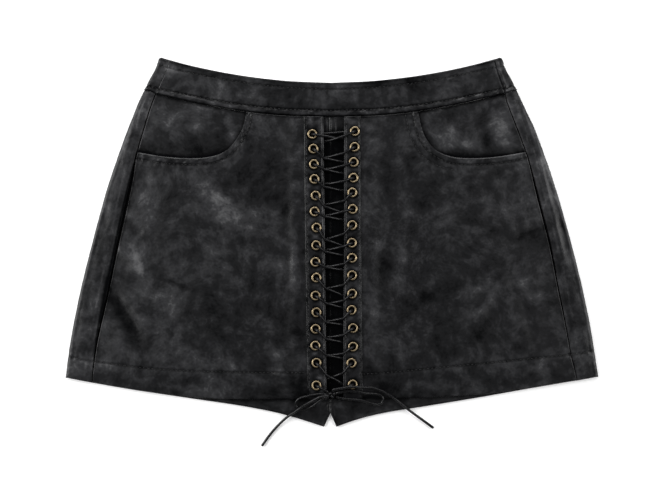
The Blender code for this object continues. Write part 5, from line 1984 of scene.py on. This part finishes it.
@dataclass
class WaistbandBack(Wrapped):
    """The back of the waistband, wrapped forward at both sides."""

    thickness: float = BAND
    radius: float = (BAND_Z + BAND) / 2
    puff: float = 0.0
    wash_and_light_patches: tuple[WashAndLightPatch, ...] = BAND_RUBS
    leather: str = "band"

    def calm(self, points: Array) -> Array:
        """Even at the left side seam, which doesn't show."""
        return smoothstep(0, 9, np.abs(points[..., 0] - LEFT.side_seam(points[..., 1])))

    def shadow(self, points: Array) -> Array:
        """Painted shade along the upper and lower edges."""
        x, down = points[..., 0], points[..., 1]
        upper, lower = band_edge("upper", x)[..., 1], band_edge("lower", x)[..., 1]
        return band_edge_shade(np.clip((down - upper) / (lower - upper), 0, 1))

    def rounded(self, points: Array) -> Array:
        """Rounded everywhere but at the left side seam."""
        rounded = np.full(points.shape[:-1], WRAP_ROUNDNESS * self.thickness)
        rounded[:, 0] = SQUARE
        return rounded

    def build(self) -> bpy.types.Object:
        """Make the band's back."""
        seams, side = band_seams(self.centre), RIGHT.beside_seam(np.linspace(3.0, 38.0, 30), 2.4)
        self.front_seams = seams + [
            Seam(side, groove=-0.3, width=1.2, shade=-0.8, pucker=0.1, stitched=False, seed=231)]
        self.back_seams = seams
        shares = spaced(34.0, 1.2, [(0, 9, 0.8), (34, 9, 0.8)])
        columns = Columns.of(spaced(175.0, 2.2, [(175, 2, 1.2)]), spaced(13.0, 1.1, [])[1:])
        seam_top = (BAND_Z + BAND_PUFF * np.sin(np.pi * shares) + BAND)[:, None]
        grids = []
        for half in HALVES:
            top = read(WAIST, "across", "upper", columns.across(half.seam_reach(SIDE_HIGH)))
            low = read(WAIST, "across", "lower", columns.across(half.seam_reach(SIDE_LOW)))
            down = top[None] + shares[:, None] * (low - top)[None]
            grids.append(self.faces(half, down, columns, CENTRE_X, seam_top))
        joined = (np.concatenate([left[:, ::-1], right[:, 1:]], axis=1) for left, right in zip(*grids))
        return self.make(*joined, self.rows())

    def rows(self) -> StitchRows:
        """Rows of stitches on both wraps and behind."""
        rows = []
        for half in HALVES:
            down = np.linspace(1.0, 44.0, 30)
            wrap = np.vstack([half.inside_fold(down, 1.5), half.beside_seam(down, 0.2)[::-1]])
            seam_top = BAND_Z + BAND + BAND_PUFF / 2
            rows += surface_rows(self.front_seams, wrap,
                                 lambda p, h=half: self.front_height(h, p, seam_top))
        behind = np.vstack([band_edge("upper", np.linspace(-168.0, 166.0, 80)),
                            band_edge("lower", np.linspace(-184.0, 182.0, 80))[::-1]])
        return rows + surface_rows(self.back_seams, behind, lambda p: -self.back_relief(p) + 0.05, -1)


# ---- eyelets


@dataclass
class Eyelets:
    """The rolled brass eyelets of both strips."""

    finishes: Finishes
    hole: float = 3.0
    flange: float = 5.0
    barrel: float = 3.35
    height: float = 1.0
    lip: float = 0.12
    rubbed_depth: float = 0.3
    out_of_round: float = 0.014
    tipped: float = 0.012
    sides: int = 44
    seed: int = 7

    def profile(self) -> Array:
        """Closed section as (radius, height): barrel, lip rolled over in a half ellipse, flat underside."""
        seat = STRIP_TOP + GAP
        foot = SKIRT_Z + LACE_ROOM + GAP
        turn = np.radians(np.linspace(180, 0, 13))
        middle, half_width = (self.hole + self.flange) / 2, (self.flange - self.hole) / 2
        crown = np.stack([middle + half_width * np.cos(turn),
                          seat + self.lip + (self.height - self.lip) * np.sin(turn) ** 0.85], axis=1)
        return np.concatenate([[(self.hole, foot), (self.hole, seat - 0.8)], crown,
                               [(self.flange - self.lip, seat), (self.barrel, seat), (self.barrel, foot)]])

    def build(self) -> None:
        """Each ring: its profile turned about the vertical, a little out of round and tipped."""
        profile = self.profile()
        below_crown = profile[:, 1] - profile[:, 1].max()
        rubbed = np.tile(np.clip(below_crown / self.rubbed_depth + 1, 0, 1), self.sides)
        angle = np.linspace(0, 2 * np.pi, self.sides, endpoint=False)
        rng = np.random.default_rng(self.seed)
        count = len(profile)
        i = np.arange(self.sides * count).reshape(self.sides, count)
        quads = np.stack([i, np.roll(i, -1, 0), np.roll(np.roll(i, -1, 0), -1, 1), np.roll(i, -1, 1)],
                         -1).reshape(-1, 4)
        for half in HALVES:
            for number, row in enumerate(ROWS, start=1):
                oval, phase, tip_x, tip_y = rng.uniform([0.0, 0, -self.tipped, -self.tipped],
                                                        [self.out_of_round, np.pi, self.tipped, self.tipped])
                radius = profile[None, :, 0] * (1 + oval * np.cos(2 * (angle - phase)))[:, None]
                x, y = radius * np.cos(angle)[:, None], radius * np.sin(angle)[:, None]
                z = profile[None, :, 1] + x * tip_x + y * tip_y
                place = half.eyelet(row)
                vertices = lift(plan(place[0] + x, place[1] - y), z).reshape(-1, 3)
                node = f"eyelet_{half.name}_{number:02d}"
                mesh = new_mesh(node + "_ring", vertices, facing_out(vertices, quads))
                store(mesh, "wear", rubbed)
                put(mesh, self.finishes.brass, Slot.BRASS, node)


# ---- the cord


class Fall(NamedTuple):
    """How the cord comes down across the opening: share of the way, share of the drop."""

    way: float
    drop: float


class Entry(NamedTuple):
    """Where a cord meets the knot, in degrees round from +X towards +Y, and up."""

    turn: float
    rise: float


class Stop(NamedTuple):
    """A place on a cord's route."""

    x: float
    down: float
    height: float


class Bow(NamedTuple):
    """A free cord of the bow: its name, how it leaves the knot, its route and how it comes back."""

    name: str
    leaves: Entry
    stops: tuple[Stop, ...]
    returns: Entry | None


class Turn(NamedTuple):
    """The cord's turn up through an eyelet: distance from its centre, and height."""

    reach: float
    height: float


FALLS = (Fall(0.3, 0.16), Fall(0.7, 0.84))
KNOT_CENTRE = (0.0, 336.7, 8.7)
KNOT_HALF = (4.6, 3.6, 3.5)
KNOT_CLEAR = 0.8
KNOT_LEAD = 3.2
STRANDS = 6
CORD_REFERENCE = (0.21, 0.13, 0.97)
KNOT_REFERENCE = (0.5, 0.31, 0.81)
LACE_ENTRY = {"left": Entry(150, 12), "right": Entry(50, -5)}
TURN_IN = (Turn(3.8, LACE_LOW), Turn(1.7, LACE_LOW + 0.45))
TURN_OUT = (Turn(1.3, LACE_CROWN - 0.9), Turn(3.6, LACE_CROWN), Turn(6.2, LACE_CROWN - 0.65))
BOWS = (
    Bow("bow_loop_left", Entry(180, 5), table(
        Stop,
        (-13.3, 336.3, 9.5), (-22.8, 338.0, 8.9), (-29.4, 339.5, 7.6), (-34.0, 342.0, 6.6),
        (-36.3, 346.0, 5.4), (-34.8, 349.8, 4.8), (-30.0, 351.8, 4.7), (-24.3, 350.9, 4.9),
        (-19.1, 348.4, 5.8), (-14.7, 344.8, 7.2), (-10.3, 341.6, 8.3)), Entry(212, -2)),
    Bow("bow_tail_left", Entry(191, 38), table(
        Stop,
        (-11.8, 338.8, 11.7), (-16.2, 341.0, 10.3), (-21.3, 343.9, 8.9), (-26.5, 346.8, 8.0),
        (-31.6, 350.3, 7.7), (-36.0, 353.5, 6.5), (-42.6, 357.9, 4.8), (-47.0, 361.5, 3.4),
        (-52.0, 366.2, 2.0), (-58.0, 372.6, 1.45), (-64.0, 380.0, 1.45), (-69.7, 388.1, 1.45)), None),
    Bow("bow_loop_right", Entry(19, 18), table(
        Stop,
        (11.7, 333.4, 11.2), (17.6, 332.8, 11.1), (24.9, 333.7, 10.4), (30.5, 334.8, 9.7),
        (36.0, 335.7, 8.5), (41.0, 336.1, 7.6), (45.8, 336.7, 7.0), (49.6, 338.6, 6.8),
        (51.1, 342.0, 6.5), (49.6, 345.6, 6.0), (45.8, 347.2, 5.7), (40.8, 346.3, 5.9),
        (35.5, 344.5, 6.6), (30.0, 343.0, 7.4), (24.0, 342.0, 8.0), (17.8, 341.5, 8.2),
        (11.7, 340.8, 8.3)), Entry(-25, -5)),
    Bow("bow_tail_right", Entry(73, 35), table(
        Stop,
        (8.8, 330.2, 13.8), (16.8, 328.9, 14.0), (24.0, 328.7, 13.1), (30.0, 329.2, 11.2),
        (36.0, 329.7, 9.6), (41.0, 330.3, 8.8), (49.8, 333.3, 8.1), (55.7, 336.6, 7.4),
        (63.0, 341.4, 6.8), (68.0, 345.3, 5.9), (73.5, 349.8, 5.1), (77.5, 353.0, 4.6),
        (83.0, 357.2, 2.9), (89.0, 361.6, 1.6), (95.0, 366.0, 1.45), (100.9, 370.3, 1.45)), None),
)


def from_knot(entry: Entry, clear: float) -> tuple[float, float, float]:
    """Point on a ray from the knot's centre, a clearance outside it."""
    turn, rise = math.radians(entry.turn), math.radians(entry.rise)
    ray = np.array([math.cos(rise) * math.cos(turn), -math.cos(rise) * math.sin(turn), math.sin(rise)])
    surface = 1 / np.linalg.norm(ray / np.array(KNOT_HALF))
    return tuple(np.array(KNOT_CENTRE) + ray * (surface + clear))


def lace_end(half: Half) -> list[tuple[float, ...]]:
    """Route of one end of the cord, from below its first eyelet down to the knot."""
    other = {"left": RIGHT, "right": LEFT}
    came_from = np.array([CENTRE_X, half.eyelet(ROWS[0])[1]])
    route = []
    for row in ROWS:
        hole, out = half.eyelet(row), half.crossing(row, "out")
        inwards, outwards = unit(came_from - hole), unit(out - hole)
        route += [(*(hole + inwards * turn.reach), turn.height) for turn in TURN_IN]
        route.append((hole[0] + half.sign * 0.35, hole[1], (LACE_LOW + LACE_CROWN) / 2))
        route += [(*(hole + outwards * turn.reach), turn.height) for turn in TURN_OUT]
        route.append((*out, LACE_HIGH))
        if row is not ROWS[-1]:
            arrival = other[half.name].crossing(row, "in")
            for fall in FALLS:
                height = LACE_HIGH - fall.drop * (LACE_HIGH - LACE_LOW)
                route.append((*(out + fall.way * (arrival - out)), height))
            route.append((*arrival, LACE_LOW))
            came_from, half = arrival, other[half.name]
    return route + [from_knot(LACE_ENTRY[half.name], KNOT_CLEAR)]


def bow_route(bow: Bow) -> Array:
    """Smooth route of one of the bow's cords in millimetres, from the knot, and back where it is a loop."""
    route = [from_knot(bow.leaves, KNOT_CLEAR), from_knot(bow.leaves, KNOT_LEAD), *bow.stops]
    if bow.returns:
        route += [from_knot(bow.returns, KNOT_LEAD), from_knot(bow.returns, KNOT_CLEAR)]
    return smooth_route(np.array(route, float), 1.0)


def clear_of_bow(points: Array) -> Array:
    """0 below the bow's cords, rising to 1 a few millimetres beside them."""
    lines = [bow_route(bow)[:, :2] for bow in BOWS]
    near = np.stack([distance_to(points, line[::2]) for line in lines]).min(0)
    return smoothstep(2.0, 6.0, near)


@dataclass
class Lace:
    """The waxed cord: the laced stretch, the knot and the bow's loops and ends."""

    finishes: Finishes
    radius: float = LACE / 2
    sides: int = 14

    def sleeve(self, name: str, route: Array) -> tuple[Mesh, Array]:
        """Tube along a route in millimetres, and its centre line in metres."""
        path = evenly(lift(route[:, :2], route[:, 2]), 0.8 * MM)
        return tube(name, path, self.radius * MM, np.array(CORD_REFERENCE), self.sides, STRANDS), path

    def laced(self) -> None:
        """The stretch through the eyelets."""
        route = smooth_route(np.array(list(reversed(lace_end(RIGHT))) + lace_end(LEFT), float), 0.8)
        put(self.sleeve("lacing_cord", route)[0], self.finishes.cord, Slot.CORD, "lacing")

    def bow(self, bow: Bow) -> None:
        """One of the bow's cords."""
        mesh, path = self.sleeve(bow.name + "_cord", bow_route(bow))
        made = put(mesh, self.finishes.cord, Slot.CORD, bow.name)

    def knot(self) -> None:
        """The knot: a cord wound twice round and once over, drawn tight to an ellipsoid.

        A trefoil: x = sin t + 2 sin 2t, y = cos t - 2 cos 2t, z = -sin 3t, scaled to the knot.
        """
        t = np.linspace(0, 2 * np.pi, 90)
        trefoil = np.stack([np.cos(t) - 2 * np.cos(2 * t), np.sin(t) + 2 * np.sin(2 * t), -np.sin(3 * t)], 1)
        reach = np.abs(trefoil).max(0)
        inner = np.array(KNOT_HALF) - self.radius
        path = lift(np.array([[KNOT_CENTRE[0], KNOT_CENTRE[1]]]), np.array([KNOT_CENTRE[2]]))
        path = path + trefoil / reach * inner * MM
        mesh = tube("bow_knot_cord", path, self.radius * MM, np.array(KNOT_REFERENCE), self.sides,
                    strands=STRANDS)
        put(mesh, self.finishes.cord, Slot.CORD, "bow_knot")

    def build(self) -> None:
        """Every stretch of the cord."""
        self.laced()
        self.knot()
        for bow in BOWS:
            self.bow(bow)


# ---- the set


class Lamp(NamedTuple):
    """A rectangular soft light: its name, place and size in metres, and power in watts."""

    name: str
    place: tuple[float, float, float]
    size: tuple[float, float]
    power: float


WHITE = (1.0, 1.0, 1.0, 1.0)
LAMPS = (
    Lamp("light_left", (-1.7, 0.35, 1.3), (1.2, 1.6), 46.0),
    Lamp("light_right", (1.7, 0.2, 1.3), (1.2, 1.6), 30.0),
    Lamp("light_top", (0.0, 1.9, 1.1), (2.0, 1.0), 38.0),
)


@dataclass
class Studio:
    """Pale floor, soft lights and a camera straight above; sizes in metres, but lens and sensor in mm."""

    width: float = 0.667
    lens: float = 85.0
    sensor: float = 36.0
    aim: tuple[float, float] = (0.0015, -0.0077)
    raised: float = 0.005
    farthest: float = 20.0
    ambient: float = 0.1
    floor_side: float = 3.0
    floor_below: float = 0.0004
    floor_grey: float = 0.93
    floor_glow: float = 0.22

    def build(self) -> None:
        """Make the camera, the lights, the world and the floor."""
        scene = bpy.context.scene
        camera_data = bpy.data.cameras.new("camera")
        camera_data.lens = self.lens
        camera_data.sensor_width = self.sensor
        camera_data.clip_end = self.farthest
        camera = stand("camera", camera_data)
        camera.location = (*self.aim, self.width * self.lens / self.sensor + self.raised)
        scene.camera = camera
        world = bpy.data.worlds.new("studio")
        world.use_nodes = True
        background = world.node_tree.nodes["Background"]
        background.inputs["Color"].default_value = WHITE
        background.inputs["Strength"].default_value = self.ambient
        scene.world = world
        for lamp in LAMPS:
            self.light(lamp)
        self.floor()
        scene.view_settings.view_transform = "Standard"

    def light(self, lamp: Lamp) -> None:
        """One of the lights, aimed at the garment."""
        data = bpy.data.lights.new(lamp.name, "AREA")
        data.shape = "RECTANGLE"
        data.size, data.size_y = lamp.size
        data.energy = lamp.power
        made = stand(lamp.name, data)
        x, y, z = lamp.place
        made.location = lamp.place
        made.rotation_euler = (math.atan2(math.hypot(x, y), z), 0.0, math.atan2(y, x) + math.pi / 2)

    def floor(self) -> None:
        """Plain pale floor just below the garment, which glows a little so that shadows on it are faint."""
        side, below = self.floor_side, self.floor_below
        corners = np.array([[-side, -side, 0], [side, -side, 0], [side, side, 0], [-side, side, 0]])
        mesh = new_mesh("floor", corners - np.array([0, 0, below]), np.array([[0, 1, 2, 3]]))
        made = stand("floor", mesh)
        draft = Draft("pale_floor")
        draft.set(Base_Color=(self.floor_grey, self.floor_grey, self.floor_grey, 1.0), Roughness=0.9,
                  Specular_IOR_Level=0.1, Emission_Color=WHITE, Emission_Strength=self.floor_glow)
        mesh.materials.append(draft.made)


# ---- assembly


def build_cloth(finishes: Finishes) -> None:
    """Every piece of cloth, from the bottom layer up."""
    WaistbandBack(LEFT, finishes, "waistband_back", centre=BAND_CENTRE, seed=260).build()
    for half in HALVES:
        name, middle = half.name, (half.sign * 130.0, 200.0)
        BackPanel(half, finishes, f"back_panel_{name}", centre=middle, seed=240 + half.sign).build()
        ShortsFront(half, finishes, f"shorts_front_{name}", (f"back_panel_{name}_cloth",), centre=middle,
                    folds=LEG_FOLDS, seed=40 + half.sign).build()
        PocketFacing(half, finishes, f"pocket_facing_{name}", (f"shorts_front_{name}_cloth",), centre=middle,
                     seed=60 + half.sign).build()
        SkirtFront(half, finishes, f"skirt_front_{name}", (f"shorts_front_{name}_cloth",
                   f"pocket_facing_{name}_cloth"), centre=middle, folds=SKIRT_FOLDS,
                   seed=80 + half.sign).build()
        EyeletStrip(half, finishes, f"eyelet_strip_{name}", (f"skirt_front_{name}_cloth",), centre=middle,
                    seed=100 + half.sign).build()
        LOG.info("%s half done", name)
    WaistbandFront(LEFT, finishes, "waistband_front", ("waistband_back_cloth",), centre=BAND_CENTRE,
                   seed=120).build()


def main() -> None:
    """Build the skort's looks and the set."""
    logging.basicConfig(level=logging.INFO, format="%(message)s")
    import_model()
    Studio().build()
    finishes = Finishes.make()
    Lace(finishes).build()
    build_cloth(finishes)
    Eyelets(finishes).build()


if __name__ == "__main__":
    main()
